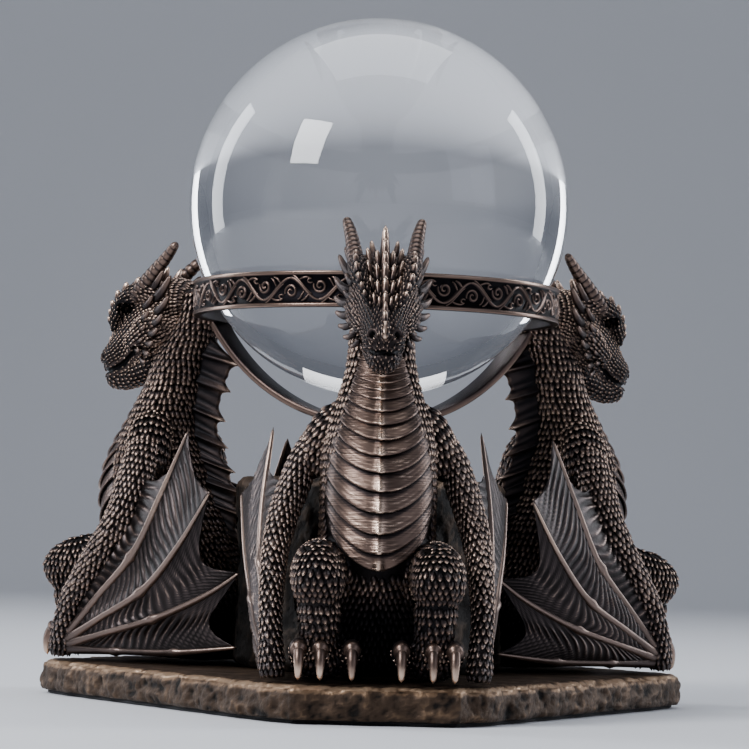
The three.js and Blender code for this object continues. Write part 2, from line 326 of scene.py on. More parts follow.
brushedBronze = agedBronze("brushedBronze", {
    "stops": bronzeStops, "blotchScale": 40, "blotchAmount": 0.3, "metallic": 1.0, "roughDark": 0.4,
    "roughBright": 0.24, "grainScale": 1, "grainStrength": 0.35, "grainDepth": 0.0003, "streak": (0.15, 11, 1),
})
rockBronze = agedBronze("rockBronze", {
    "stops": [(0.15, (0.010, 0.008, 0.007)), (0.5, (0.06, 0.038, 0.025)), (0.8, (0.2, 0.125, 0.075)), (1.05, (0.5, 0.34, 0.22))],
    "blotchScale": 130, "blotchAmount": 0.5, "metallic": 0.8, "roughDark": 0.7,
    "roughBright": 0.38, "grainScale": 700, "grainStrength": 0.6, "grainDepth": 0.0006,
})

# overlapping scales, laid as points that know which way they face and flow


def scaleShape():
    rows = [(-0.46, 0.15, 0.02, -0.07, 0.05), (-0.06, 0.31, 0.14, 0.02, 0.34), (0.24, 0.2, 0.21, 0.1, 0.72)]
    verts, wearAndShade = [], []
    for y, half, top, side, bright in rows:
        verts += [(-half, y, side), (0, y, top), (half, y, side), (0, y, -0.14)]
        wearAndShade += [0.72 * bright, bright, 0.72 * bright, 0]
    verts.append((0, 0.52, 0.17))
    wearAndShade.append(1.0)
    faces = [(3, 2, 1, 0)]
    for i in range(2):
        p = i * 4
        for j in range(4):
            k = (j + 1) % 4
            faces.append((p + j, p + k, p + 4 + k, p + 4 + j))
    for j in range(4):
        faces.append((8 + j, 8 + (j + 1) % 4, 12))
    return meshOf("scaleShape", verts, faces, wearAndShade)


def scaleTree():
    tree = bpy.data.node_groups.new("overlappingScales", "GeometryNodeTree")
    face = tree.interface
    face.new_socket("Geometry", in_out="INPUT", socket_type="NodeSocketGeometry")
    for label, kind, value in [
        ("Scale Shape", "NodeSocketObject", None), ("Length", "NodeSocketFloat", 3.0), ("Width", "NodeSocketFloat", 3.0),
        ("Height", "NodeSocketFloat", 2.4), ("Variation", "NodeSocketFloat", 0.12), ("Seed", "NodeSocketInt", 3),
        ("Material", "NodeSocketMaterial", None),
    ]:
        socket = face.new_socket(label, in_out="INPUT", socket_type=kind)
        if value is not None:
            socket.default_value = value
    face.new_socket("Geometry", in_out="OUTPUT", socket_type="NodeSocketGeometry")
    nodes, links = tree.nodes, tree.links
    given = nodes.new("NodeGroupInput")
    out = nodes.new("NodeGroupOutput")
    shape = nodes.new("GeometryNodeObjectInfo")
    links.new(given.outputs["Scale Shape"], shape.inputs["Object"])
    facing = nodes.new("GeometryNodeInputNamedAttribute")
    facing.data_type = "FLOAT_VECTOR"
    facing.inputs["Name"].default_value = "facing"
    flow = nodes.new("GeometryNodeInputNamedAttribute")
    flow.data_type = "FLOAT_VECTOR"
    flow.inputs["Name"].default_value = "flow"
    size = nodes.new("GeometryNodeInputNamedAttribute")
    size.data_type = "FLOAT"
    size.inputs["Name"].default_value = "size"
    up = nodes.new("FunctionNodeAlignRotationToVector")
    up.axis = "Z"
    links.new(facing.outputs["Attribute"], up.inputs["Vector"])
    ahead = nodes.new("FunctionNodeAlignRotationToVector")
    ahead.axis = "Y"
    ahead.pivot_axis = "Z"
    links.new(up.outputs["Rotation"], ahead.inputs["Rotation"])
    links.new(flow.outputs["Attribute"], ahead.inputs["Vector"])
    vary = nodes.new("FunctionNodeRandomValue")
    vary.data_type = "FLOAT"
    low = nodes.new("ShaderNodeMath")
    low.operation = "SUBTRACT"
    low.inputs[0].default_value = 1
    high = nodes.new("ShaderNodeMath")
    high.operation = "ADD"
    high.inputs[0].default_value = 1
    links.new(given.outputs["Variation"], low.inputs[1])
    links.new(given.outputs["Variation"], high.inputs[1])
    links.new(low.outputs[0], vary.inputs[2])
    links.new(high.outputs[0], vary.inputs[3])
    links.new(given.outputs["Seed"], vary.inputs["Seed"])
    sized = nodes.new("ShaderNodeMath")
    sized.operation = "MULTIPLY"
    links.new(size.outputs["Attribute"], sized.inputs[0])
    links.new(vary.outputs[1], sized.inputs[1])
    measure = nodes.new("ShaderNodeCombineXYZ")
    links.new(given.outputs["Width"], measure.inputs["X"])
    links.new(given.outputs["Length"], measure.inputs["Y"])
    links.new(given.outputs["Height"], measure.inputs["Z"])
    scaled = nodes.new("ShaderNodeVectorMath")
    scaled.operation = "SCALE"
    links.new(measure.outputs["Vector"], scaled.inputs[0])
    links.new(sized.outputs[0], scaled.inputs["Scale"])
    lay = nodes.new("GeometryNodeInstanceOnPoints")
    links.new(given.outputs["Geometry"], lay.inputs["Points"])
    links.new(shape.outputs["Geometry"], lay.inputs["Instance"])
    links.new(ahead.outputs["Rotation"], lay.inputs["Rotation"])
    links.new(scaled.outputs["Vector"], lay.inputs["Scale"])
    real = nodes.new("GeometryNodeRealizeInstances")
    links.new(lay.outputs["Instances"], real.inputs["Geometry"])
    dress = nodes.new("GeometryNodeSetMaterial")
    links.new(real.outputs["Geometry"], dress.inputs["Geometry"])
    links.new(given.outputs["Material"], dress.inputs["Material"])
    links.new(dress.outputs["Geometry"], out.inputs["Geometry"])
    return tree


scaleTemplate = scaleShape()
scaleNodes = scaleTree()


def setInput(modifier, tree, label, value):
    socket = next(s for s in tree.interface.items_tree if s.name == label and s.in_out == "INPUT")
    modifier[socket.identifier] = value


def layScales(name, spots, length, width, height, variation=0.12, seed=3, material=None):
    data = bpy.data.meshes.new(name)
    data.from_pydata([tuple(s[0]) for s in spots], [], [])
    for k, label in ((1, "facing"), (2, "flow")):
        layer = data.attributes.new(label, "FLOAT_VECTOR", "POINT")
        layer.data.foreach_set("vector", np.array([s[k] for s in spots], float).ravel())
    layer = data.attributes.new("size", "FLOAT", "POINT")
    layer.data.foreach_set("value", np.array([s[3] for s in spots], float))
    ob = bpy.data.objects.new(name, data)
    bpy.context.scene.collection.objects.link(ob)
    mod = ob.modifiers.new("Scales", "NODES")
    mod.node_group = scaleNodes
    setInput(mod, scaleNodes, "Scale Shape", scaleTemplate)
    setInput(mod, scaleNodes, "Length", length)
    setInput(mod, scaleNodes, "Width", width)
    setInput(mod, scaleNodes, "Height", height)
    setInput(mod, scaleNodes, "Variation", variation)
    setInput(mod, scaleNodes, "Seed", seed)
    setInput(mod, scaleNodes, "Material", material or scaleBronze)
    baked(ob)
    for label in ("facing", "flow", "size"):
        layer = ob.data.attributes.get(label)
        if layer:
            ob.data.attributes.remove(layer)
    ob.data.shade_smooth()
    return ob


def scaleSpots(rows, tree, pitchLong, pitchAround, keep, level=False, flow=1, lift=0.15, near=1.1, size=None, ends=(0.02, 0.98), cap=0.05):
    jitter = np.random.default_rng(23)
    fine = np.linspace(0, 1, 400)
    line = splineAt(rows, fine)[:, :3]
    run = np.concatenate([[0], np.cumsum(np.linalg.norm(np.diff(line, axis=0), axis=1))])
    count = max(2, int(run[-1] * (ends[1] - ends[0]) / pitchLong))
    ts = np.interp(np.linspace(ends[0], ends[1], count) * run[-1], run, fine)
    turn = np.linspace(0, 2 * np.pi, 181)
    spots = []
    for j, t in enumerate(ts):
        hoop = loftPoint(rows, np.full(181, t), turn, level, cap)
        walk = np.concatenate([[0], np.cumsum(np.linalg.norm(np.diff(hoop, axis=0), axis=1))])
        n = max(3, int(round(walk[-1] / pitchAround)))
        angles = np.interp((np.arange(n) + 0.5 * (j % 2) + jitter.uniform(-0.13, 0.13, n)) / n * walk[-1] % walk[-1], walk, turn)
        t = np.clip(t + jitter.uniform(-0.16, 0.16, n) * pitchLong / run[-1], 0, 1)
        here = loftPoint(rows, t, angles, level, cap)
        ahead = loftPoint(rows, np.minimum(1, t + 0.01), angles, level, cap)
        step = ahead - loftPoint(rows, np.maximum(0, t - 0.01), angles, level, cap)
        for p, d in zip(here, step * flow):
            hit, normal, _, far = tree.find_nearest(Vector(p))
            if hit is None or far > near or not keep(hit):
                continue
            d = Vector(d)
            d = d - normal * d.dot(normal)
            if d.length < 1e-6:
                continue
            big = size(hit) if size else 1.0
            spots.append((hit + normal * lift, normal, d.normalized(), big))
    return spots


def fillSpots(skin, spots, keep, apart, big):
    taken = KDTree(len(spots))
    for k, spot in enumerate(spots):
        taken.insert(spot[0], k)
    taken.balance()
    extra, cells = [], {}
    for p, n in zip(pointsOf(skin), normalsOf(skin)):
        p, n = Vector(p), Vector(n)
        if n.z < -0.75 or not keep(p) or taken.find(p)[2] < apart:
            continue
        cell = [int(c // apart) for c in p]
        around = [(cell[0] + i, cell[1] + j, cell[2] + k) for i in (-1, 0, 1) for j in (-1, 0, 1) for k in (-1, 0, 1)]
        if any((q - p).length < apart for key in around for q in cells.get(key, ())):
            continue
        down = Vector((0.35, 0, -1))
        down -= n * down.dot(n)
        if down.length > 0.05:
            cells.setdefault(tuple(cell), []).append(p)
            extra.append((p + n * 0.1, n, down.normalized(), big))
    return extra


# the dragon's body

torsoRows = [
    [56, 0, 0.6, 18, 15], [56.5, 0, 4, 23.5, 18.6], [57.2, 0, 14, 24.2, 18.6], [61, 0, 24, 22.5, 16.4],
    [66.4, 0, 33, 21.9, 15.4], [69.4, 0, 42, 20.4, 15], [71.9, 0, 50, 18.4, 15], [72.3, 0, 57, 16.7, 14.8],
    [72.2, 0, 64, 13.8, 14], [71.2, 0, 70, 11.2, 12.4], [69.8, 0, 76, 9.7, 10.8], [67.4, 0, 84, 8.4, 8.8],
    [65.5, 0, 91, 8, 8.3], [62.6, 0, 97, 7.2, 7.8], [59.8, 0, 103, 7.2, 7.6], [59, 0, 109, 6.2, 6.6],
    [59, 0, 111.4, 4.6, 5.2],
]
shoulderRows = [[69, 7.6, 72, 4.4, 4], [68, 12.4, 67.6, 6.2, 5.2], [67, 16, 61.6, 6.6, 4.8], [66.6, 18, 54, 4.8, 3.4]]
thighRows = [
    [56, 13, 13, 9, 6], [64, 14, 21, 10.5, 7], [75, 15, 27, 9.6, 7], [86, 15.5, 28.6, 8.4, 6.8],
    [92.6, 15.6, 27, 8, 6.7], [96.6, 15.6, 25, 6.8, 6], [99.2, 15.6, 23, 4.6, 4.6],
]
shinRows = [[93, 15.4, 24.5, 6.2, 5.6], [91.4, 15.1, 17, 5.4, 5.2], [89.4, 14.7, 11, 4.6, 4.8], [88, 14.4, 5.4, 4.6, 5.4], [85, 14.4, 2.6, 2.2, 4.4]]
kneeRows = [
    [90, 15.6, 37, 2.2, 2], [90.5, 15.6, 34, 7, 5.6], [91, 15.6, 30, 9.2, 7.2], [91.2, 15.6, 25, 9.2, 7.4],
    [91.4, 15.5, 20.5, 7.8, 6.6], [91, 15.3, 16.5, 6.2, 5.8],
]
toes = [(9.6, 6.4), (14.4, 14.6), (18.8, 20.2)]
body = {"voxel": 0.85, "scaleLength": 3.2, "scaleWidth": 3.7, "scaleHeight": 3.2, "rowPitch": 1.95, "aroundPitch": 1.62}


def toeRows(root, tip, way):
    return [
        [84, way * root, 3.8, 3, 3], [89, way * (root + tip) / 2, 6.6, 3.1, 2.9],
        [92.6, way * tip, 8.4, 2.7, 2.5], [94.6, way * tip, 8.8, 1.9, 1.9],
    ]


def makeSkin():
    shapes = [loftMesh(torsoRows, 40, 44, True)]
    for rows in (shoulderRows, thighRows, shinRows):
        shapes.append(loftMesh(rows, 24, 18, cap=0.16))
        shapes.append(loftMesh(mirrored(rows), 24, 18, cap=0.16))
    for way in (1, -1):
        for root, tip in toes:
            shapes.append(loftMesh(toeRows(root, tip, way), 12, 10, cap=0.2))
    skin = fused("dragonSkin", shapes, body["voxel"])
    setWear(skin, 0.08)
    return skin


# belly plates run from throat to groin, each one over the next
plateEdges = [86.2, 84.5, 82.8, 81, 79.2, 77.2, 74.8, 71.6, 68, 64, 59.8, 55.2, 50.2, 44.6, 39, 33.8, 29.4]
plates = {"across": 45, "down": 11, "lip": 1.3, "keel": 1.15, "keelWidth": 1.0, "overlap": 1.0}


def plateHalf(u):
    return np.interp(u, [26, 31, 36, 42, 48, 55, 61, 68, 75, 84, 90], [7, 11.4, 13.3, 14.2, 14.1, 13.4, 12, 10.3, 8.4, 6.6, 5.6])


def plateRise(u):
    return np.interp(u, [29, 36, 45, 55, 65, 75, 86], [10.5, 11.2, 10.4, 8, 5.2, 2.8, 1.2])


torsoFine = splineAt(torsoRows, np.linspace(0, 1, 500))
torsoFine = torsoFine[np.argsort(torsoFine[:, 2])]


def chestPoint(u, s, off):
    f, hd, hw = (np.interp(u, torsoFine[:, 2], torsoFine[:, k]) for k in (0, 3, 4))
    sine = np.clip(s / hw, -0.975, 0.975)
    cosine = np.sqrt(1 - sine**2)
    nf, ns = cosine / hd, sine / hw
    size = np.hypot(nf, ns)
    return np.stack([f + hd * cosine + off * nf / size, hw * sine + off * ns / size, u], axis=-1)


def makePlates():
    parts = []
    q = np.linspace(-1, 1, plates["across"])
    w = np.linspace(0, 1, plates["down"])
    qq, ww = np.meshgrid(q, w)
    for above, below in zip(plateEdges[:-1], plateEdges[1:]):
        bend = np.abs(qq) ** 2.1
        upper = above + plateRise(above) * bend + plates["overlap"]
        lower = below + plateRise(below) * bend
        u = upper + (lower - upper) * ww
        s = qq * plateHalf(u - 0.6 * plateRise(below) * bend)
        small = np.clip((above - below) / 4, 0.35, 1)
        off = 0.2 + plates["lip"] * small * ww**1.35
        off = off * (1 - 0.6 * np.abs(qq) ** 6)
        keel = np.exp(-((s / plates["keelWidth"]) ** 2)) * plates["keel"] * small * (0.35 + 0.65 * ww)
        groove = 0.07 * np.sin(ww * 27 + 4 * qq + above) * (1 - np.exp(-((s / 1.6) ** 2)))
        points = chestPoint(u, s, off + keel + groove * small).reshape(-1, 3)
        # painted shadow: the colour mask is darkened over the upper band of each plate, where the lip of the plate
        # above shades it
        tone = np.clip((ww - 0.12) / 0.4, 0, 1)
        wearAndShade = -0.25 + 0.68 * tone * tone * (3 - 2 * tone) + 0.3 * np.exp(-((s / 0.9) ** 2)) * ww
        wearAndShade = (wearAndShade + 1.4 * groove - 0.22 * np.abs(qq) ** 4).ravel()
        uv = np.stack([s.ravel(), u.ravel()], axis=-1)
        plate = meshOf("plate", points, gridFaces(len(w), len(q)), wearAndShade, uv, fixNormals=False)
        thick = plate.modifiers.new("Thick", "SOLIDIFY")
        thick.thickness = 0.75
        thick.offset = 1 if plate.data.polygons[0].normal.x < 0 else -1
        baked(plate)
        parts.append(plate)
    ob = merged("bellyPlates", parts)
    ob.data.materials.clear()
    ob.data.materials.append(plateBronze)
    ob.data.shade_smooth()
    return ob


crestTips = [(44.8, 88.2), (48.4, 80.2), (49.9, 71.4), (48.7, 63.5), (45.9, 56.3), (42.6, 50.0), (42.9, 43.7), (42.6, 36.4)]
crestDips = [(54.0, 95.5), (49.6, 85.0), (52.0, 77.9), (52.8, 69.3), (50.9, 61.5), (47.8, 54.0), (45.3, 47.6), (45.4, 41.0), (45.2, 33.5)]
crest = {"perTooth": 18, "out": 11, "rootHalf": 2.0, "edgeHalf": 0.3, "toothHalf": 1.0, "streaks": 3.5}


def makeCrest():
    edge, rib = [], []
    for k, tip in enumerate(crestTips):
        a, b = np.array(crestDips[k]), np.array(crestDips[k + 1])
        tip = np.array(tip)
        for j in range(crest["perTooth"]):
            x = j / crest["perTooth"]
            if x < 0.66:
                y = (x / 0.66) ** 0.8
                spot = a + (tip - a) * y + np.array([1.0, 0.35]) * 1.5 * math.sin(math.pi * y) ** 1.2
            else:
                y = (x - 0.66) / 0.34
                spot = tip + (b - tip) * y + np.array([1.0, 0.6]) * 1.3 * math.sin(math.pi * y)
            edge.append(spot)
            rib.append(math.exp(-(((x - 0.66) / 0.13) ** 2)))
    edge.append(np.array(crestDips[-1]))
    rib.append(0)
    edge = np.array(edge)
    n = len(edge)
    # roots bunch up behind each tooth so that its folds run together at the tip
    rootU = edge[:, 1] + 2.5 + 1.5 * np.linspace(0, 1, n)
    rootU = 0.55 * rootU + 0.45 * np.interp(np.arange(n), [0, n - 1], [rootU[0], rootU[-1]])
    root = np.stack([np.interp(rootU, torsoFine[:, 2], torsoFine[:, 0] - torsoFine[:, 3]) + 2.2, rootU], axis=-1)
    w = np.linspace(0, 1, crest["out"])
    left, right, wearAndShade = [], [], []
    for k in range(n):
        fold = math.sin(2 * math.pi * crest["streaks"] * k / crest["perTooth"])
        for x in w:
            p = root[k] + (edge[k] - root[k]) * x
            half = crest["rootHalf"] * (1 - x) ** 0.8 + crest["edgeHalf"]
            half += rib[k] * crest["toothHalf"] * math.sin(math.pi * min(1, 0.25 + 0.75 * x)) + 0.13 * fold * math.sin(math.pi * x)
            left.append((p[0], half, p[1]))
            right.append((p[0], -half, p[1]))
            wearAndShade.append(0.05 + (0.2 + 0.6 * rib[k]) * x**2 + 0.16 * fold * x + 0.2 * (x > 0.95))
    m = len(w)
    faces = gridFaces(n, m)
    count = n * m
    faces += [tuple(count + v for v in reversed(f)) for f in gridFaces(n, m)]
    border = [k * m + m - 1 for k in range(n)]
    faces += [(a, a + count, b + count, b) for a, b in zip(border[:-1], border[1:])]
    border = [k * m for k in range(n)]
    faces += [(b, b + count, a + count, a) for a, b in zip(border[:-1], border[1:])]
    faces += [(j + 1, j, j + count, j + 1 + count) for j in range(m - 1)]
    base = (n - 1) * m
    faces += [(base + j, base + j + 1, base + j + 1 + count, base + j + count) for j in range(m - 1)]
    return meshOf("crest", left + right, faces, np.array(wearAndShade + wearAndShade))


claw = {"around": 10, "along": 12}


def makeClaws():
    parts = []
    for way in (1, -1):
        for root, tip in toes:
            s = way * tip
            rows = [[93.6, s, 9, 1.7, 1.5], [95.6, s, 8.6, 1.9, 1.5], [97, s, 6.4, 1.7, 1.4], [97.6, s, 3.8, 1.2, 1.05], [97.3, s, 1, 0.7, 0.7]]
            verts, faces = loftMesh(rows, claw["around"], claw["along"], cap=0.12)
            wearAndShade = 0.5 + 0.35 * np.clip((9 - verts[:, 2]) / 8, 0, 1)
            parts.append(meshOf("claw", verts, faces, wearAndShade))
            hood = [[91.6, s, 8.6, 2.4, 2.3], [93.8, s, 9.2, 2.5, 2.35], [95.4, s, 8.8, 2.35, 2.1], [96.2, s, 8.1, 1.6, 1.45]]
            verts, faces = loftMesh(hood, 18, 24, cap=0.12, swell=lambda t, a: 1 + 0.07 * np.cos(6 * np.pi * t))
            parts.append(meshOf("hood", verts, faces, 0.15 + 0.45 * np.clip((verts[:, 0] - 94) / 2, 0, 1)))
    return merged("claws", parts)


def keepBody(spot):
    f, s, u = spot
    if u < 0.6 or (s * s > 0 and f < 52.4 and u > 99):
        return False
    front = np.interp(u, torsoFine[:, 2], torsoFine[:, 0])
    if 27 < u < 88 and f > front and abs(s) < plateHalf(u) - 0.3:
        rise = plateRise(u) * (abs(s) / plateHalf(u)) ** 2.1
        return u - rise < 25.5
    return True


def bodyScales(skin):
    tree = treeOf(skin)
    spots = scaleSpots(torsoRows, tree, body["rowPitch"], body["aroundPitch"], keepBody, level=True, flow=-1, ends=(0.05, 0.985))
    spots += scaleSpots(shoulderRows, tree, body["rowPitch"], body["aroundPitch"], keepBody, near=0.8, ends=(0.22, 0.98), cap=0.16)
    spots += scaleSpots(mirrored(shoulderRows), tree, body["rowPitch"], body["aroundPitch"], keepBody, near=0.8, ends=(0.22, 0.98), cap=0.16)
    for rows in (thighRows, mirrored(thighRows)):
        spots += scaleSpots(
            rows, tree, 1.9, 1.75, lambda p: keepBody(p) and p[0] < 84, near=1.2, size=lambda p: 0.8, ends=(0.02, 0.9), cap=0.16)
    for rows in (kneeRows, mirrored(kneeRows)):
        spots += scaleSpots(
            rows, tree, 1.75, 1.75, lambda p: p[0] > 83.5 and p[2] > 15.5, level=True, near=4, size=lambda p: 0.8, ends=(0.03, 0.97))
    for rows in (shinRows, mirrored(shinRows)):
        spots += scaleSpots(
            rows, tree, 1.75, 1.6, lambda p: keepBody(p) and p[2] < 15.5, near=1.0, size=lambda p: 0.78, ends=(0.02, 0.86), cap=0.16)
    for way in (1, -1):
        for root, tip in toes:
            spots += scaleSpots(toeRows(root, tip, way), tree, 1.5, 1.4, keepBody, near=0.8, size=lambda p: 0.6, ends=(0.06, 0.97), cap=0.2)
    spots += fillSpots(skin, spots, keepBody, 1.75, 0.8)
    print("body scales", len(spots))
    return layScales("bodyScales", spots, body["scaleLength"], body["scaleWidth"], body["scaleHeight"])


def darkRecess(ob):
    # painted shade: the colour mask is darkened under the knees and behind the shins, where shade falls
    p = pointsOf(ob)
    low = np.clip((24 - p[:, 2]) / 7, 0, 1) * np.clip((94 - p[:, 0]) / 4, 0, 1)
    setWear(ob, wearOf(ob) * (1 - 0.8 * low))


print("building the body")
skin = makeSkin()
bodyMaster = merged("dragonBody", [bodyScales(skin), skin, makeCrest(), makeClaws()])
darkRecess(bodyMaster)
platesMaster = makePlates()
bodyMaster.data.materials.clear()
bodyMaster.data.materials.append(scaleBronze)
for face in bodyMaster.data.polygons:
    face.material_index = 0


def copies(master, label, nodePattern):
    for side in dragons:
        data = master.data.copy()
        data.transform(dragonPlace(side))
        ob = bpy.data.objects.new(label + side.capitalize(), data)
        bpy.context.scene.collection.objects.link(ob)
        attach(ob, "stand")
        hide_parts(nodePattern.format(side))
    bpy.data.objects.remove(master)


copies(bodyMaster, "dragonBody", "dragon_body_{}")
copies(platesMaster, "bellyPlates", "dragon_body_{}")

# the dragon's head

print("building the head")
skullRows = [
    [59.5, 0, 104.5, 5, 6], [63.5, 0, 104.8, 8.8, 8.2], [68, 0, 103.8, 10.6, 8.8], [73, 0, 101.2, 11.2, 8.6],
    [78, 0, 97.8, 10.2, 7.6], [82.4, 0, 94.6, 8.4, 6.2], [86.2, 0, 91.6, 6.6, 5.3], [89.4, 0, 89.4, 5.2, 5.3],
    [92.2, 0, 87.6, 3.8, 4.4],
]
browRows = [
    [68, 5.4, 109, 3.2, 3], [74, 6.6, 110.2, 3.2, 2.8], [79.6, 7.1, 109.4, 2.7, 2.4], [83.8, 6.7, 106.6, 2.1, 1.9],
    [86.8, 5.2, 102.2, 1.5, 1.4], [88.8, 3.6, 98, 0.8, 0.8],
]
cheekRows = [[68, 6.6, 101, 5.4, 2.6], [73.5, 7, 98.8, 5, 2.7], [78, 6.4, 96, 3.4, 2.2], [82.6, 5.6, 93.4, 1.8, 1.2]]
jawRows = [[70, 0, 91.6, 4, 6.2], [76, 0, 88.2, 4, 5.4], [82, 0, 85.4, 3.4, 4.5], [87, 0, 84.4, 3.2, 3.8], [91.6, 0, 85.6, 3, 3.4]]
hornRows = [
    [79, 7.4, 107.6, 2.4, 2.3], [75.4, 7.8, 111.6, 2.35, 2.2], [71.2, 8.4, 115.8, 2.05, 1.95], [66.6, 9.2, 120, 1.7, 1.65], [62.2, 10.4, 124.3, 1.15, 1.15],
]
bridgeRows = [[88.6, 0, 96.6, 0.9, 0.9], [91.2, 0, 94.2, 1.2, 1.1], [93.1, 0, 91.5, 1.25, 1.3], [93.8, 0, 89.4, 0.7, 0.9]]
lipRows = [[83, 0, 88.8, 1.4, 3.8], [87.6, 0, 87, 1.5, 3.5], [91.8, 0, 86.3, 1.4, 3]]
mouthLine = [(77.4, 93.4), (80.5, 91), (84, 88.5), (87.4, 86.9), (91, 86.3), (95, 86.2)]
nostril = np.array([91.9, 3.3, 90.9])
eye = np.array([81.8, 7.2, 105])
head = {"voxel": 0.46, "scaleLength": 2.7, "scaleWidth": 2.3, "scaleHeight": 2.6, "rowPitch": 1.2, "aroundPitch": 1.1, "hornRibs": 12}
# raised scales on the forehead: place along the skull, place around it, length, rise, thickness
midSpikes = [
    (0.31, 0, 6, 8, 1.7), (0.37, 0, 5, 5.4, 1.7), (0.43, 0, 4.4, 3.3, 1.7), (0.51, 0, 4.2, 2.6, 1.75), (0.6, 0, 3.8, 2.2, 1.6), (0.69, 0, 3.2, 1.9, 1.45),
    (0.77, 0, 2.6, 1.7, 1.3), (0.84, 0, 2.2, 1.5, 1.15),
]
leafSpikes = [
    (0.27, 0.3, 5.5, 4.2, 1.3), (0.36, 0.42, 5, 3.4, 1.3), (0.4, 0.2, 4.6, 2.8, 1.2), (0.46, 0.46, 4.4, 2.6, 1.15),
    (0.5, 0.24, 4, 2.2, 1.1), (0.56, 0.46, 3.6, 1.9, 1.0), (0.6, 0.26, 3.3, 1.6, 0.95), (0.67, 0.44, 3, 1.4, 0.85), (0.7, 0.24, 2.6, 1.3, 0.8),
]
browSpikes = [(0.12, 1.7), (0.24, 1.75), (0.36, 1.6), (0.48, 1.45), (0.59, 1.3), (0.69, 1.1), (0.78, 0.95), (0.86, 0.8)]
# each cheek spike: root, tip, thickness
sideSpikes = [
    ((73.5, 7.6, 110), (66.5, 10.6, 116.2), 1.3), ((71.5, 8, 107.5), (62.8, 12.2, 114.4), 1.55), ((70.6, 8.4, 103.8), (62.8, 13.2, 108.2), 1.5),
    ((71.4, 8.4, 100.6), (64.8, 13.2, 102.8), 1.35), ((72.6, 8.2, 97.8), (66.6, 12.8, 98.6), 1.25), ((73.8, 7.8, 95.2), (68.6, 12, 94.8), 1.1),
    ((75.2, 7, 92.8), (70.8, 10.6, 91.6), 1.0), ((76.8, 6, 90.6), (73.2, 8.8, 89), 0.85), ((75, 7.8, 105.5), (70.2, 10.4, 108.8), 1.15),
    ((75.6, 8, 102), (71.2, 10.8, 104), 1.05), ((76.4, 7.9, 98.8), (72.4, 10.6, 99.8), 0.95), ((77.2, 7.4, 95.9), (73.6, 10, 96), 0.85),
    ((78.2, 6.8, 93.2), (75.2, 9, 92.6), 0.75), ((79, 7.2, 101), (76, 9, 102.2), 0.75), ((79.6, 6.8, 98), (76.8, 8.6, 98.6), 0.7),
    ((80.2, 6.2, 95.2), (77.8, 8, 95.2), 0.6),
]


def farFromMouth(points):
    best = np.full(len(points), 1e9)
    flat = points[:, [0, 2]]
    for a, b in zip(mouthLine[:-1], mouthLine[1:]):
        a, b = np.array(a, float), np.array(b, float)
        run = b - a
        t = np.clip(((flat - a) @ run) / (run @ run), 0, 1)
        best = np.minimum(best, np.linalg.norm(flat - (a + t[:, None] * run), axis=1))
    return best


def makeHeadSkin():
    shapes = [loftMesh(skullRows, 36, 36, cap=0.14), loftMesh(jawRows, 28, 24, cap=0.16), loftMesh(bridgeRows, 12, 12, cap=0.16)]
    shapes.append(loftMesh(lipRows, 20, 16, cap=0.2))
    for rows in (browRows, cheekRows):
        shapes.append(loftMesh(rows, 20, 18, cap=0.16))
        shapes.append(loftMesh(mirrored(rows), 20, 18, cap=0.16))
    skin = fused("headSkin", shapes, head["voxel"], 3)
    p = pointsOf(skin)
    n = normalsOf(skin)
    folded = p * [1, 0, 1] + np.abs(p) * [0, 1, 0]
    lip = farFromMouth(p)
    hole = np.linalg.norm(folded - nostril, axis=1)
    socket = np.linalg.norm((folded - eye) * [1, 0.8, 1.25], axis=1)
    move = -0.8 * np.exp(-((lip / 0.4) ** 2)) + 0.4 * np.exp(-(((lip - 1.15) / 0.5) ** 2))
    move += -1.6 * np.exp(-((hole / 0.7) ** 2)) + 0.4 * np.exp(-(((hole - 1.35) / 0.45) ** 2))
    move += -2.1 * np.exp(-((socket / 2.1) ** 4)) + 0.5 * np.exp(-(((socket - 2.9) / 0.6) ** 2))
    setPoints(skin, p + n * move[:, None])
    ridge = np.exp(-((p[:, 1] / 0.8) ** 2)) * (p[:, 0] > 88.5) * (p[:, 2] > 89)
    wearAndShade = 0.12 + 0.35 * np.exp(-(((lip - 1.15) / 0.5) ** 2)) + 0.35 * np.exp(-(((hole - 1.35) / 0.5) ** 2)) + 0.75 * ridge
    wearAndShade -= 0.5 * np.exp(-((lip / 0.8) ** 2)) + 0.5 * np.exp(-((hole / 0.9) ** 2)) + 0.4 * np.exp(-((socket / 2.4) ** 2))
    setWear(skin, np.clip(wearAndShade, -0.1, 1))
    return skin


def ribbed(rows, ribs, depth, around=16, along=84):
    swell = lambda t, a: 1 - depth / 2 + depth * np.abs(np.sin(np.pi * ribs * t)) ** 0.4
    verts, faces = loftMesh(rows, around, along, cap=0.08, swell=swell)
    t = np.concatenate([[0], np.repeat(np.arange(1, along) / along, around), [1]])
    return meshOf("horn", verts, faces, 0.12 + 0.33 * np.abs(np.sin(np.pi * ribs * t)) ** 0.5 + 0.25 * t)


def spike(root, tip, thick, bright=0.85):
    root, tip = np.array(root, float), np.array(tip, float)
    rows = []
    for x, r in ((0, 0.8), (0.25, 1), (0.55, 0.9), (0.82, 0.65), (1, 0.34)):
        p = root + (tip - root) * x - np.array([0, 0, 0.7 * thick]) * math.sin(math.pi * x)
        rows.append([*p, thick * r, thick * r * 0.78])
    verts, faces = loftMesh(rows, 8, 9, cap=0.12)
    reach = np.clip(((verts - root) @ unit(tip - root)) / np.linalg.norm(tip - root), 0, 1)
    return meshOf("spike", verts, faces, 0.02 + bright * reach**0.8)


def raised(rows, t, turn, length, rise, thick, cap=0.14):
    t, turn = np.array(t), np.array(turn)
    here = loftPoint(rows, t, turn, cap=cap)
    back = unit(loftPoint(rows, t - 0.04, turn, cap=cap) - here)
    out = unit(here - splineAt(rows, t)[:3])
    return spike(here - out * 0.5 * thick, here + back * length + out * rise, thick, 0.95)


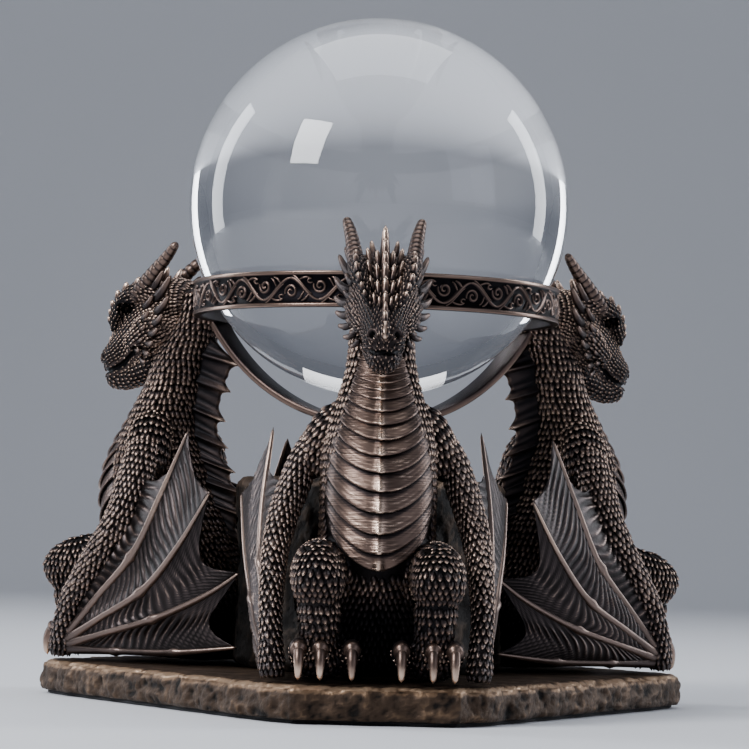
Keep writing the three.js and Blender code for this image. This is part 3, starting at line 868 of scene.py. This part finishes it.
def makeHeadTrim():
    parts = [raised(skullRows, *row) for row in midSpikes]
    for way in (1, -1):
        flip = np.array([1, way, 1])
        parts.append(ribbed([[r[0], way * r[1], *r[2:]] for r in hornRows], head["hornRibs"], 0.13))
        parts += [spike(root * flip, tip * flip, thick, 0.6) for root, tip, thick in sideSpikes]
        parts += [raised(skullRows, t, way * turn, *rest) for t, turn, *rest in leafSpikes]
        brow = browRows if way > 0 else mirrored(browRows)
        parts += [raised(brow, t, 0.25 * way, 1.9 * thick, 0.9 * thick, thick, 0.16) for t, thick in browSpikes]
        x, y, z = eye * flip
        globe = [[x, y - way * 2.6, z, 0.7, 0.7], [x, y - way * 1.5, z, 1.6, 1.6], [x, y - way * 0.5, z, 0.7, 0.7]]
        verts, faces = loftMesh(globe, 16, 12, level=True, cap=0.4)
        parts.append(meshOf("eye", verts, faces, 0.45))
    return parts


def headScales(skin):
    tree = treeOf(skin)

    def keep(spot):
        p = np.array([[spot[0], abs(spot[1]), spot[2]]])
        if farFromMouth(p)[0] < 0.6 or np.linalg.norm(p[0] - nostril) < 1.3:
            return False
        return np.linalg.norm((p[0] - eye) * [1, 0.8, 1.25]) > 2.5

    def size(spot):
        return float(np.interp(spot[0], [60, 72, 80, 92], [1.15, 1.2, 0.72, 0.46]))

    spots = scaleSpots(skullRows, tree, head["rowPitch"], head["aroundPitch"], keep, flow=-1, size=size, near=0.9, ends=(0.06, 0.97), cap=0.14, lift=0.02)
    for rows in (browRows, cheekRows):
        for side in (rows, mirrored(rows)):
            spots += scaleSpots(side, tree, 1.3, 1.15, keep, flow=-1, size=size, near=0.5, ends=(0.04, 0.96), cap=0.16, lift=0.02)
    spots += scaleSpots(jawRows, tree, 1.4, 1.3, keep, flow=-1, size=lambda p: 0.75, near=0.6, ends=(0.04, 0.9), cap=0.16, lift=0.0)
    spots += fillSpots(skin, spots, lambda p: keep(p) and p[0] > 74, 1.05, 0.5)
    print("head scales", len(spots))
    return layScales("headScales", spots, head["scaleLength"], head["scaleWidth"], head["scaleHeight"], seed=8)


headSkin = makeHeadSkin()
headMaster = merged("dragonHead", [headScales(headSkin)] + makeHeadTrim() + [headSkin])
headMaster.data.materials.clear()
headMaster.data.materials.append(scaleBronze)
for face in headMaster.data.polygons:
    face.material_index = 0
copies(headMaster, "dragonHead", "dragon_head_{}")

# folded wings

print("building the wings")
armRows = [
    [67.4, 14.6, 67.4, 3.6, 2.8], [66.8, 17.6, 63, 4.8, 3.4], [66.8, 20.2, 58, 5.2, 3.7], [67.2, 22.4, 52, 5.4, 3.8],
    [68.6, 25, 44, 4.9, 3.6], [73, 26.9, 35.5, 4.1, 3.2], [79, 27.6, 26.5, 3.6, 2.9], [84.2, 27.8, 18, 3.2, 2.7],
    [87, 27.4, 10, 3.1, 2.8], [87.8, 27, 4, 3.4, 3.2], [88, 26.8, 0.8, 2.6, 2.8],
]
fingerRows = [
    [[86.5, 27.4, 6.4, 1.5], [74, 29.4, 19, 1.05], [61, 31, 32, 1.15], [52.5, 30.6, 49, 0.9], [45, 28.6, 67.8, 0.45]],
    [[86.5, 27.8, 5.4, 1.5], [72, 31, 12.8, 1.0], [56, 33, 21.5, 1.1], [43, 35.4, 34.5, 0.85], [32, 37, 49.8, 0.42]],
    [[86.5, 27.8, 4.4, 1.5], [70, 30.6, 8.6, 1.0], [52, 31.8, 13.6, 1.05], [35, 31.4, 21, 0.85], [25.4, 30.4, 27.2, 0.42]],
    [[86.5, 27.4, 3.4, 1.5], [68, 29.6, 3.4, 1.0], [46, 30.4, 3.9, 0.95], [26.2, 29.4, 6, 0.42]],
]
web = {"along": 120, "across": 19, "thick": 0.5, "wrinkle": 2.8, "depth": 0.72, "slant": 1.3, "billow": 0.9}
webSpans = [(0.98, 0.86, 0.08), (1, 1, 0.05), (1, 1, 0.2), (1, 1, 0.2)]


def makeWeb(one, two, endOne, endTwo, dip, phase):
    a = np.linspace(0, 1, web["along"])
    b = np.linspace(0, 1, web["across"])
    aa, bb = np.meshgrid(a, b, indexing="ij")
    reach = aa * (1 - dip * 4 * bb * (1 - bb))
    start = 0.04 + 0.96 * reach
    p = splineAt(one, start * endOne)[..., :3] * (1 - bb[..., None]) + splineAt(two, start * endTwo)[..., :3] * bb[..., None]
    da, db = np.gradient(p, axis=0), np.gradient(p, axis=1)
    n = unit(np.cross(da, db))
    length = np.linalg.norm(splineAt(one, np.array([endOne])) - splineAt(one, np.array([0.0])))
    wave = reach * length / web["wrinkle"] + web["slant"] * bb + 1.9 * bb * (1 - bb) + phase
    wave += 0.32 * np.sin(4.3 * bb + 9 * reach + 3 * phase) + 0.22 * np.sin(5 * bb - 13 * reach + 5 * phase)
    fold = 1 - np.abs(np.sin(np.pi * wave))
    soft = np.sin(np.pi * np.clip(bb, 0, 1)) ** 0.7
    fade = soft * np.clip(reach * 6, 0, 1)
    centre = p + n * (web["billow"] * np.sin(np.pi * bb) * np.sin(np.pi * np.clip(reach, 0, 1)))[..., None]
    lift = (web["depth"] * (fold**1.4 - 0.35) * fade)[..., None]
    edge = np.clip((1 - reach) * 8, 0.3, 1)[..., None]
    front = centre + n * (web["thick"] * edge / 2 + lift)
    back = centre - n * (web["thick"] * edge / 2 - lift)
    verts = np.concatenate([front.reshape(-1, 3), back.reshape(-1, 3)])
    rows, cols = web["along"], web["across"]
    count = rows * cols
    faces = gridFaces(rows, cols)
    faces += [tuple(count + v for v in reversed(f)) for f in gridFaces(rows, cols)]
    rim = [i * cols for i in range(rows)] + [(rows - 1) * cols + j for j in range(1, cols)]
    rim += [i * cols + cols - 1 for i in range(rows - 2, -1, -1)] + [j for j in range(cols - 2, 0, -1)]
    faces += [(x, y, y + count, x + count) for x, y in zip(rim, rim[1:] + rim[:1])]
    wearAndShade = 0.02 + 0.6 * (fold**2 * fade) + 0.35 * np.clip((reach - 0.95) * 20, 0, 1)
    return meshOf("web", verts, faces, np.concatenate([wearAndShade.ravel(), wearAndShade.ravel()]))


def makeWing(way):
    flip = lambda rows: [[r[0], way * r[1], *r[2:]] for r in rows]
    arm = flip(armRows)
    skin = fused("armSkin", [loftMesh(arm, 20, 36, cap=0.06)], 0.7, 3)
    setWear(skin, 0.08)
    tree = treeOf(skin)
    spots = scaleSpots(arm, tree, 1.8, 1.5, lambda p: p[2] > 0.7, near=1.2, size=lambda p: 0.86 if p[2] > 20 else 0.7, ends=(0.02, 0.98), cap=0.06)
    parts = [layScales("armScales", spots, body["scaleLength"], body["scaleWidth"], body["scaleHeight"], seed=5 + way), skin]
    bones = [flip(rows) for rows in fingerRows]
    for k, rows in enumerate(bones):
        fine = [[r[0], r[1], r[2], r[3], r[3]] for r in rows]
        knots = (0.48,) if k < 3 else (0.35, 0.66)
        bulge = lambda t, a: 1 + sum(0.55 * np.exp(-(((t - c) / 0.02) ** 2)) for c in knots) + 0.08 * np.cos(3 * a)
        verts, faces = loftMesh(fine, 12, 54, cap=0.04, swell=bulge)
        t = np.concatenate([[0], np.repeat(np.arange(1, 54) / 54, 12), [1]])
        parts.append(meshOf("finger", verts, faces, 0.42 + 0.25 * t))
    lines = [arm[2:10][::-1]] + bones
    for k, (endOne, endTwo, dip) in enumerate(webSpans):
        parts.append(makeWeb(np.array(lines[k])[:, :3], np.array(lines[k + 1])[:, :3], endOne, endTwo, dip, 0.37 * k))
    ob = merged("dragonWing", parts)
    # the colour mask is scaled down over the lowest 5.6 mm of the wing, so it grows darker towards the bottom
    setWear(ob, wearOf(ob) * np.clip(0.3 + pointsOf(ob)[:, 2] / 8, 0, 1))
    ob.data.materials.clear()
    ob.data.materials.append(webBronze)
    for face in ob.data.polygons:
        face.material_index = 0
    return ob


for label, way in (("A", 1), ("B", -1)):
    copies(makeWing(way), "dragonWing" + label, "dragon_wing_{}_" + label.lower())

# support ring with its scrollwork

print("building the cradle")
band = {"around": 288, "sink": 0.6, "repeats": 19, "tall": 0.7}
bandMiddle = (ringTop + ringBottom) / 2
bandCell = 2 * math.pi * ringOut / band["repeats"]
bandRoom = (ringTop - ringBottom) / 2 - stand["bandRim"] - 0.35


def turnedMesh(name, profile, around, wearAndShade, closed=True):
    verts, values = [], []
    for k in range(around):
        a = 2 * math.pi * k / around
        verts += [(r * math.cos(a), r * math.sin(a), z) for r, z in profile]
        values += wearAndShade
    m = len(profile)
    faces = []
    for k in range(around):
        n = (k + 1) % around
        faces += [(k * m + j, n * m + j, n * m + (j + 1) % m, k * m + (j + 1) % m) for j in range(m if closed else m - 1)]
    if not closed:
        faces.append(tuple(k * m for k in reversed(range(around))))
        faces.append(tuple(k * m + m - 1 for k in range(around)))
    return meshOf(name, verts, faces, values)


def makeBand():
    rim, out, low, high = stand["bandRim"], ringOut, ringBottom, ringTop
    inner, floor = out - 2.75, out - band["sink"]
    profile = [
        (inner + 0.4, low), (out - 0.35, low), (out - 0.08, low + 0.08), (out, low + 0.35), (out, low + rim - 0.25),
        (out - 0.12, low + rim - 0.05), (floor, low + rim + 0.2), (floor, high - rim - 0.2), (out - 0.12, high - rim + 0.05),
        (out, high - rim + 0.25), (out, high - 0.35), (out - 0.08, high - 0.08), (out - 0.35, high), (inner + 0.5, high),
        (inner, high - 0.6), (inner, low + 0.5),
    ]
    wearAndShade = [0.3, 0.5, 0.72, 0.68, 0.68, 0.6, 0.08, 0.08, 0.6, 0.68, 0.72, 0.8, 0.6, 0.5, 0.35, 0.25]
    return turnedMesh("ringBand", profile, band["around"], wearAndShade)


def reliefShape(name, path, halfWidth, tall, flip):
    path = np.array(path) * [1, flip]
    run = unit(np.gradient(path, axis=0))
    verts, wearAndShade = [], []
    n = len(path)
    for k, (x, z) in enumerate(path):
        t = k / (n - 1)
        w = halfWidth * (0.25 + 0.75 * math.sin(math.pi * min(1, 0.18 + 0.75 * t)) ** 0.6)
        for side, lift in ((-1, -0.15), (0, tall * (0.55 + 0.45 * math.sin(math.pi * t))), (1, -0.15)):
            px, pz = x - run[k][1] * w * side, z + run[k][0] * w * side
            r = ringOut - band["sink"] + lift
            a = px / ringOut
            verts.append((r * math.sin(a), -r * math.cos(a), bandMiddle + pz))
            wearAndShade.append(0.7 if side == 0 else 0.12)
    faces = gridFaces(n, 3)
    return meshOf(name, verts, faces, wearAndShade)


def reliefTree():
    tree = bpy.data.node_groups.new("ringRelief", "GeometryNodeTree")
    face = tree.interface
    face.new_socket("Geometry", in_out="INPUT", socket_type="NodeSocketGeometry")
    for label, kind, value in [
        ("Relief Shape", "NodeSocketObject", None), ("Repeats", "NodeSocketInt", 15), ("Phase", "NodeSocketFloat", 0.0),
        ("Material", "NodeSocketMaterial", None),
    ]:
        socket = face.new_socket(label, in_out="INPUT", socket_type=kind)
        if value is not None:
            socket.default_value = value
    face.new_socket("Geometry", in_out="OUTPUT", socket_type="NodeSocketGeometry")
    nodes, links = tree.nodes, tree.links
    given = nodes.new("NodeGroupInput")
    out = nodes.new("NodeGroupOutput")
    shape = nodes.new("GeometryNodeObjectInfo")
    links.new(given.outputs["Relief Shape"], shape.inputs["Object"])
    spots = nodes.new("GeometryNodeMeshLine")
    spots.inputs["Offset"].default_value = (0, 0, 0)
    links.new(given.outputs["Repeats"], spots.inputs["Count"])
    index = nodes.new("GeometryNodeInputIndex")
    step = nodes.new("ShaderNodeMath")
    step.operation = "DIVIDE"
    step.inputs[0].default_value = 2 * math.pi
    links.new(given.outputs["Repeats"], step.inputs[1])
    turn = nodes.new("ShaderNodeMath")
    turn.operation = "MULTIPLY_ADD"
    links.new(index.outputs["Index"], turn.inputs[0])
    links.new(step.outputs[0], turn.inputs[1])
    links.new(given.outputs["Phase"], turn.inputs[2])
    spin = nodes.new("ShaderNodeCombineXYZ")
    links.new(turn.outputs[0], spin.inputs["Z"])
    lay = nodes.new("GeometryNodeInstanceOnPoints")
    links.new(spots.outputs["Mesh"], lay.inputs["Points"])
    links.new(shape.outputs["Geometry"], lay.inputs["Instance"])
    links.new(spin.outputs["Vector"], lay.inputs["Rotation"])
    real = nodes.new("GeometryNodeRealizeInstances")
    links.new(lay.outputs["Instances"], real.inputs["Geometry"])
    dress = nodes.new("GeometryNodeSetMaterial")
    links.new(real.outputs["Geometry"], dress.inputs["Geometry"])
    links.new(given.outputs["Material"], dress.inputs["Material"])
    links.new(dress.outputs["Geometry"], out.inputs["Geometry"])
    return tree


def scrollPaths():
    half, room = bandCell / 2, bandRoom
    x = np.linspace(-half / 2, half / 2, 22)
    stem = np.stack([x, 0.84 * room * np.sin(np.pi * x / half)], axis=-1)
    x = np.linspace(-half * 0.36, half * 0.3, 14)
    echo = np.stack([x - 0.05 * half, 0.84 * room * np.sin(np.pi * x / half) - 0.3 * room], axis=-1)
    turn = np.linspace(0, 2.9 * np.pi, 30)
    r = 0.56 * room * (1 - turn / (3.15 * np.pi)) ** 0.8
    volute = np.stack([half * 0.53 + r * np.cos(1.1 * np.pi - turn), -0.22 * room + r * np.sin(1.1 * np.pi - turn)], axis=-1)
    bow = np.linspace(0, 1, 10)
    leafUp = np.stack([half * (0.16 - 0.26 * bow), room * (0.42 + 0.5 * np.sin(1.5 * bow))], axis=-1)
    leafOver = np.stack([half * (-0.02 - 0.2 * bow), room * (0.2 + 0.62 * np.sin(1.6 * bow))], axis=-1)
    leafDown = np.stack([half * (-0.2 + 0.42 * bow), -room * (0.7 + 0.2 * np.sin(2.6 * bow))], axis=-1)
    curl = np.stack([half * (0.2 + 0.09 * np.cos(4.4 * bow + 1.2)), -room * (0.62 + 0.17 * np.sin(4.4 * bow + 1.2))], axis=-1)
    return [
        ("stem", stem, 0.72), ("echo", echo, 0.42), ("volute", volute, 0.58), ("leafUp", leafUp, 0.5), ("leafOver", leafOver, 0.42),
        ("leafDown", leafDown, 0.46), ("curl", curl, 0.4),
    ]


def makeScrolls():
    tree = reliefTree()
    parts = []
    # every other wave is the same one turned upside down
    for flip, phase in ((1, 0.0), (-1, math.pi / band["repeats"])):
        for label, path, width in scrollPaths():
            shape = reliefShape(label, path, width, band["tall"], flip)
            data = bpy.data.meshes.new(label)
            ob = bpy.data.objects.new("scroll", data)
            bpy.context.scene.collection.objects.link(ob)
            mod = ob.modifiers.new("Scrolls", "NODES")
            mod.node_group = tree
            setInput(mod, tree, "Relief Shape", shape)
            setInput(mod, tree, "Repeats", band["repeats"])
            setInput(mod, tree, "Phase", phase)
            setInput(mod, tree, "Material", ringBronze)
            baked(ob)
            ob.data.shade_smooth()
            bpy.data.objects.remove(shape)
            parts.append(ob)
    return parts


def dressed(ob, material, node):
    ob.data.materials.clear()
    ob.data.materials.append(material)
    for face in ob.data.polygons:
        face.material_index = 0
    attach(ob, "stand")
    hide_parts(node)


ringPiece = merged("supportRing", [makeBand()] + makeScrolls())
ringPiece.data.transform(standTurn(0))
dressed(ringPiece, ringBronze, "support_ring")

strap = {"middle": 62.5, "half": 1.0, "wide": 4.5, "from": 6.8, "to": 58.4, "steps": 72}


def makeStrap():
    mid, h, w = strap["middle"], strap["half"], strap["wide"]
    profile = [
        (-w, mid - h + 0.2), (-w + 0.2, mid - h), (w - 0.2, mid - h), (w, mid - h + 0.2), (w, mid + h - 0.3),
        (w - 0.3, mid + h), (w - 1.1, mid + h), (w - 1.5, mid + h - 0.35), (0, mid + h - 0.35), (1.5 - w, mid + h - 0.35),
        (1.1 - w, mid + h), (0.3 - w, mid + h), (-w, mid + h - 0.3),
    ]
    tone = [0.4, 0.3, 0.3, 0.4, 0.7, 0.72, 0.6, 0.35, 0.42, 0.35, 0.6, 0.72, 0.7]
    verts, wearAndShade, uv = [], [], []
    for k in range(strap["steps"] + 1):
        a = math.radians(strap["from"] + (strap["to"] - strap["from"]) * k / strap["steps"])
        for (s, r), t in zip(profile, tone):
            verts.append((r * math.sin(a), s, ballRise - r * math.cos(a)))
            wearAndShade.append(t)
            uv.append((r * a, s))
    m = len(profile)
    faces = []
    for k in range(strap["steps"]):
        faces += [(k * m + j, k * m + (j + 1) % m, (k + 1) * m + (j + 1) % m, (k + 1) * m + j) for j in range(m)]
    faces.append(tuple(range(m)))
    faces.append(tuple(strap["steps"] * m + j for j in reversed(range(m))))
    return meshOf("cradleStrap", verts, faces, wearAndShade, uv)


strapMaster = makeStrap()
strapMaster.data.materials.append(brushedBronze)
for side, (angle, push) in dragons.items():
    data = strapMaster.data.copy()
    data.transform(standTurn(angle))
    ob = bpy.data.objects.new("cradleStrap" + side.capitalize(), data)
    bpy.context.scene.collection.objects.link(ob)
    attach(ob, "stand")
    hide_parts(f"cradle_strap_{side}")
bpy.data.objects.remove(strapMaster)

bossLow, bossHigh = boxOf("cradle_boss")
bossFloor, bossRoof = bossLow[2] - plinthTop, bossHigh[2] - plinthTop
bossProfile = [
    (2, bossFloor), (5.8, bossFloor), (6.2, bossFloor + 0.2), (6.75, bossRoof - 0.7), (7, bossRoof - 0.3), (6.8, bossRoof),
    (5.4, bossRoof), (5, bossRoof - 0.3), (3.4, bossRoof - 0.4), (2, bossRoof - 0.4),
]
bossTone = [0.3, 0.4, 0.6, 0.6, 0.7, 0.7, 0.6, 0.3, 0.3, 0.4]
bossPiece = turnedMesh("cradleBoss", bossProfile, 72, bossTone, closed=False)
bossPiece.data.transform(standTurn(0))
dressed(bossPiece, ringBronze, "cradle_boss")

# rock column and plinth

print("building the rock and plinth")
rock = {"radius": 38.4, "lobe": 3.2, "around": 240, "up": 96, "rough": 1.5}
rockRows = [
    (0.94, 0.3), (1, 2.5), (0.99, 12), (0.97, 24), (0.98, 36), (1.0, 46), (1.0, 53), (0.95, 55.2), (0.82, 54.6),
    (0.5, 53), (0.25, 52.6), (0.02, 52.5),
]


def rockNoise(x, y, z, scale, detail=4):
    return noise.fractal(Vector((x * scale, y * scale, z * scale)), 0.9, 2.1, detail, noise_basis="PERLIN_ORIGINAL")


def makeRock():
    walk = np.array([0] + [math.hypot(b[0] * 38 - a[0] * 38, b[1] - a[1]) for a, b in zip(rockRows[:-1], rockRows[1:])]).cumsum()
    at = np.linspace(0, walk[-1], rock["up"])
    factors = np.interp(at, walk, [r[0] for r in rockRows])
    heights = np.interp(at, walk, [r[1] for r in rockRows])
    verts, wearAndShade = [], []
    for f, u in zip(factors, heights):
        for k in range(rock["around"]):
            a = 2 * math.pi * k / rock["around"]
            r = f * (rock["radius"] + rock["lobe"] * math.cos(3 * a))
            x, y = r * math.cos(a), r * math.sin(a)
            side = 1 if u < 53.5 and f > 0.9 else 0
            crag = rockNoise(x, y, u, 0.085)
            streak = rockNoise(x, y, u * 0.8, 0.33, 3)
            cut = -rock["rough"] * abs(crag) - 0.7 * abs(streak) * (0.4 + 0.6 * side)
            pull = 1 + cut / max(r, 6)
            verts.append((x * pull, y * pull, u + (0 if side else 0.5 * cut)))
            wearAndShade.append(0.16 - 0.45 * abs(crag) - 0.4 * abs(streak) + 0.3 * (u > 52))
    faces = gridFaces(rock["up"], rock["around"], wrap=True)
    faces.append(tuple(reversed(range(rock["around"]))))
    base = (rock["up"] - 1) * rock["around"]
    faces.append(tuple(base + j for j in range(rock["around"])))
    return meshOf("rockCore", verts, faces, wearAndShade)


rockPiece = makeRock()
rockPiece.data.transform(standTurn(0))
dressed(rockPiece, rockBronze, "rock_core")

plinthCorners = [(86, -33), (100, -22), (100, 22), (86, 33)]
plinth = {"step": 0.95, "chip": 1.7, "fine": 0.75}


def plinthOutline():
    corners = []
    for angle, push in dragons.values():
        a = math.radians(angle + stand["turn"] - 90)
        corners += [np.array([f * math.cos(a) - s * math.sin(a), f * math.sin(a) + s * math.cos(a)]) for f, s in plinthCorners]
    points = []
    for here, there in zip(corners, corners[1:] + corners[:1]):
        steps = max(2, round(float(np.linalg.norm(there - here)) / plinth["step"]))
        for j in range(steps):
            p = here + (there - here) * j / steps
            wave = 0.6 * math.sin(p[0] * 0.31 + p[1] * 0.17) + 0.5 * math.sin(p[1] * 0.43 - p[0] * 0.12)
            points.append(p * (1 + wave / 90))
    return np.array(points)


def makePlinth():
    outline = plinthOutline()
    low, high = plinthLow[2] - plinthTop, 0.0
    hoops = [(60, low), (20, low), (1.4, low), (0.5, low + 0.5)]
    hoops += [(0.15, low + 1 + 0.6 * k) for k in range(9)]
    hoops += [(0.3, low + 6.4), (0.6, low + 7), (1.0, low + 7.7), (1.5, high - 0.9), (2.1, high - 0.45), (2.9, high - 0.15), (3.9, high - 0.02)]
    hoops += [(inset, high) for inset in (5, 6.2, 7.6, 9.2, 11, 13.5, 16.5, 20, 26, 36, 52, 70)]
    verts, wearAndShade = [], []
    for inset, z in hoops:
        for p in outline:
            size = np.linalg.norm(p)
            x, y = p * (1 - min(inset, 0.96 * size) / size)
            edge = max(0.0, 1 - inset / 9)
            crag = abs(rockNoise(x, y, z * 1.3, 0.12))
            grit = abs(rockNoise(x, y, z, 0.3, 3))
            cut = (plinth["chip"] * crag + plinth["fine"] * grit) * edge * (z > low + 0.2)
            drop = 0
            if z > high - 1.2:
                drop = (0.8 * crag + 0.5 * grit) * edge**1.5 + 0.16 * grit
            pull = 1 - cut / size
            verts.append((x * pull, y * pull, z - drop))
            lip = math.exp(-(((inset - 2.2) / 1.6) ** 2)) * (z > high - 2)
            wearAndShade.append(0.42 + 0.62 * lip - 0.55 * grit - 0.3 * crag)
    n = len(outline)
    faces = gridFaces(len(hoops), n, wrap=True)
    faces.append(tuple(reversed(range(n))))
    base = (len(hoops) - 1) * n
    faces.append(tuple(base + j for j in range(n)))
    return meshOf("rockPlinth", verts, faces, wearAndShade)


plinthPiece = makePlinth()
plinthPiece.data.transform(Matrix.Translation((0, 0, plinthTop * mm)) @ Matrix.Scale(mm, 4))
dressed(plinthPiece, rockBronze, "plinth")

felt, nodes, links, shader = newMaterial("felt")
place = nodes.new("ShaderNodeTexCoord")
fibre = nodes.new("ShaderNodeTexNoise")
fibre.inputs["Scale"].default_value = 1600
fibre.inputs["Detail"].default_value = 5
links.new(place.outputs["Object"], fibre.inputs["Vector"])
nap = nodes.new("ShaderNodeBump")
nap.inputs["Strength"].default_value = 0.6
nap.inputs["Distance"].default_value = 0.0003
links.new(fibre.outputs["Fac"], nap.inputs["Height"])
links.new(nap.outputs["Normal"], shader.inputs["Normal"])
shader.inputs["Base Color"].default_value = (0.012, 0.012, 0.014, 1)
shader.inputs["Roughness"].default_value = 0.95
feltPiece = bpy.data.objects["felt_pad"]
feltPiece.data.materials.clear()
feltPiece.data.materials.append(felt)

# crystal ball

print("crystal ball")
ballData = bpy.data.meshes.new("ball")
work = bmesh.new()
bmesh.ops.create_uvsphere(work, u_segments=128, v_segments=64, radius=ballRadius * mm)
bmesh.ops.translate(work, verts=work.verts, vec=Vector(ballCentre * mm))
work.to_mesh(ballData)
work.free()
ballData.shade_smooth()
ball = bpy.data.objects.new("ball", ballData)
bpy.context.scene.collection.objects.link(ball)
crystal, nodes, links, shader = newMaterial("crystal")
shader.inputs["Base Color"].default_value = (0.985, 0.99, 1, 1)
shader.inputs["Transmission Weight"].default_value = 1
shader.inputs["Roughness"].default_value = 0.0
shader.inputs["IOR"].default_value = 1.5
ballData.materials.append(crystal)
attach(ball, "ball")
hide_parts("crystal_ball")

bpy.data.objects.remove(scaleTemplate)

# floor, lights and camera

floorMat, nodes, links, shader = newMaterial("paleFloor")
shader.inputs["Base Color"].default_value = (0.78, 0.79, 0.82, 1)
shader.inputs["Roughness"].default_value = 0.7
sweep = {"width": 6.0, "front": -2.5, "back": 1.6, "bend": 0.9, "height": 3.2, "steps": 24}


def makeFloor():
    line = [(sweep["front"], 0.0), (sweep["back"], 0.0)]
    for k in range(1, sweep["steps"] + 1):
        a = math.pi / 2 * k / sweep["steps"]
        line.append((sweep["back"] + sweep["bend"] * math.sin(a), sweep["bend"] * (1 - math.cos(a))))
    line.append((sweep["back"] + sweep["bend"], sweep["height"]))
    verts, faces = [], []
    for y, z in line:
        verts += [(-sweep["width"] / 2, y, z - 0.0002), (sweep["width"] / 2, y, z - 0.0002)]
    for k in range(len(line) - 1):
        faces.append((2 * k, 2 * k + 1, 2 * k + 3, 2 * k + 2))
    ob = meshOf("floor", verts, faces, fixNormals=False)
    ob.data.materials.append(floorMat)


makeFloor()
world = bpy.context.scene.world or bpy.data.worlds.new("room")
bpy.context.scene.world = world
world.use_nodes = True
world.node_tree.nodes["Background"].inputs["Color"].default_value = (0.55, 0.6, 0.72, 1)
world.node_tree.nodes["Background"].inputs["Strength"].default_value = 0.26


def softbox(name, place, aim, width, height, power, colour):
    data = bpy.data.lights.new(name, "AREA")
    data.shape = "RECTANGLE"
    data.size = width
    data.size_y = height
    data.energy = power
    data.color = colour
    ob = bpy.data.objects.new(name, data)
    ob.location = place
    ob.rotation_euler = (Vector(aim) - Vector(place)).to_track_quat("-Z", "Y").to_euler()
    bpy.context.scene.collection.objects.link(ob)


softbox("window", (-0.8, -0.75, 0.8), (0, 0, 0.1), 0.4, 0.55, 17, (0.95, 0.97, 1.0))
softbox("fill", (1.1, -0.7, 0.5), (0, 0, 0.1), 0.7, 0.7, 1.6, (0.8, 0.86, 1.0))
softbox("overhead", (0, 0.2, 1.3), (0, 0, 0.1), 0.9, 0.9, 6, (0.95, 0.97, 1.0))
softbox("leftStrip", (-1.1, 0.45, 0.4), (0, 0, 0.14), 0.25, 1.1, 9, (0.9, 0.94, 1.0))
softbox("rightStrip", (1.1, 0.45, 0.4), (0, 0, 0.14), 0.25, 1.1, 9, (0.9, 0.94, 1.0))

view = {"distance": 0.9, "height": 0.0475, "pitch": 3.05, "roll": 1.5, "lens": 149.43}
lens = bpy.data.cameras.new("camera")
lens.lens = view["lens"]
lens.sensor_width = 36
camera = bpy.data.objects.new("camera", lens)
camera.matrix_world = (
    Matrix.Translation((0, -view["distance"], view["height"]))
    @ Matrix.Rotation(math.radians(90 + view["pitch"]), 4, "X")
    @ Matrix.Rotation(math.radians(view["roll"]), 4, "Z")
)
bpy.context.scene.collection.objects.link(camera)
bpy.context.scene.camera = camera
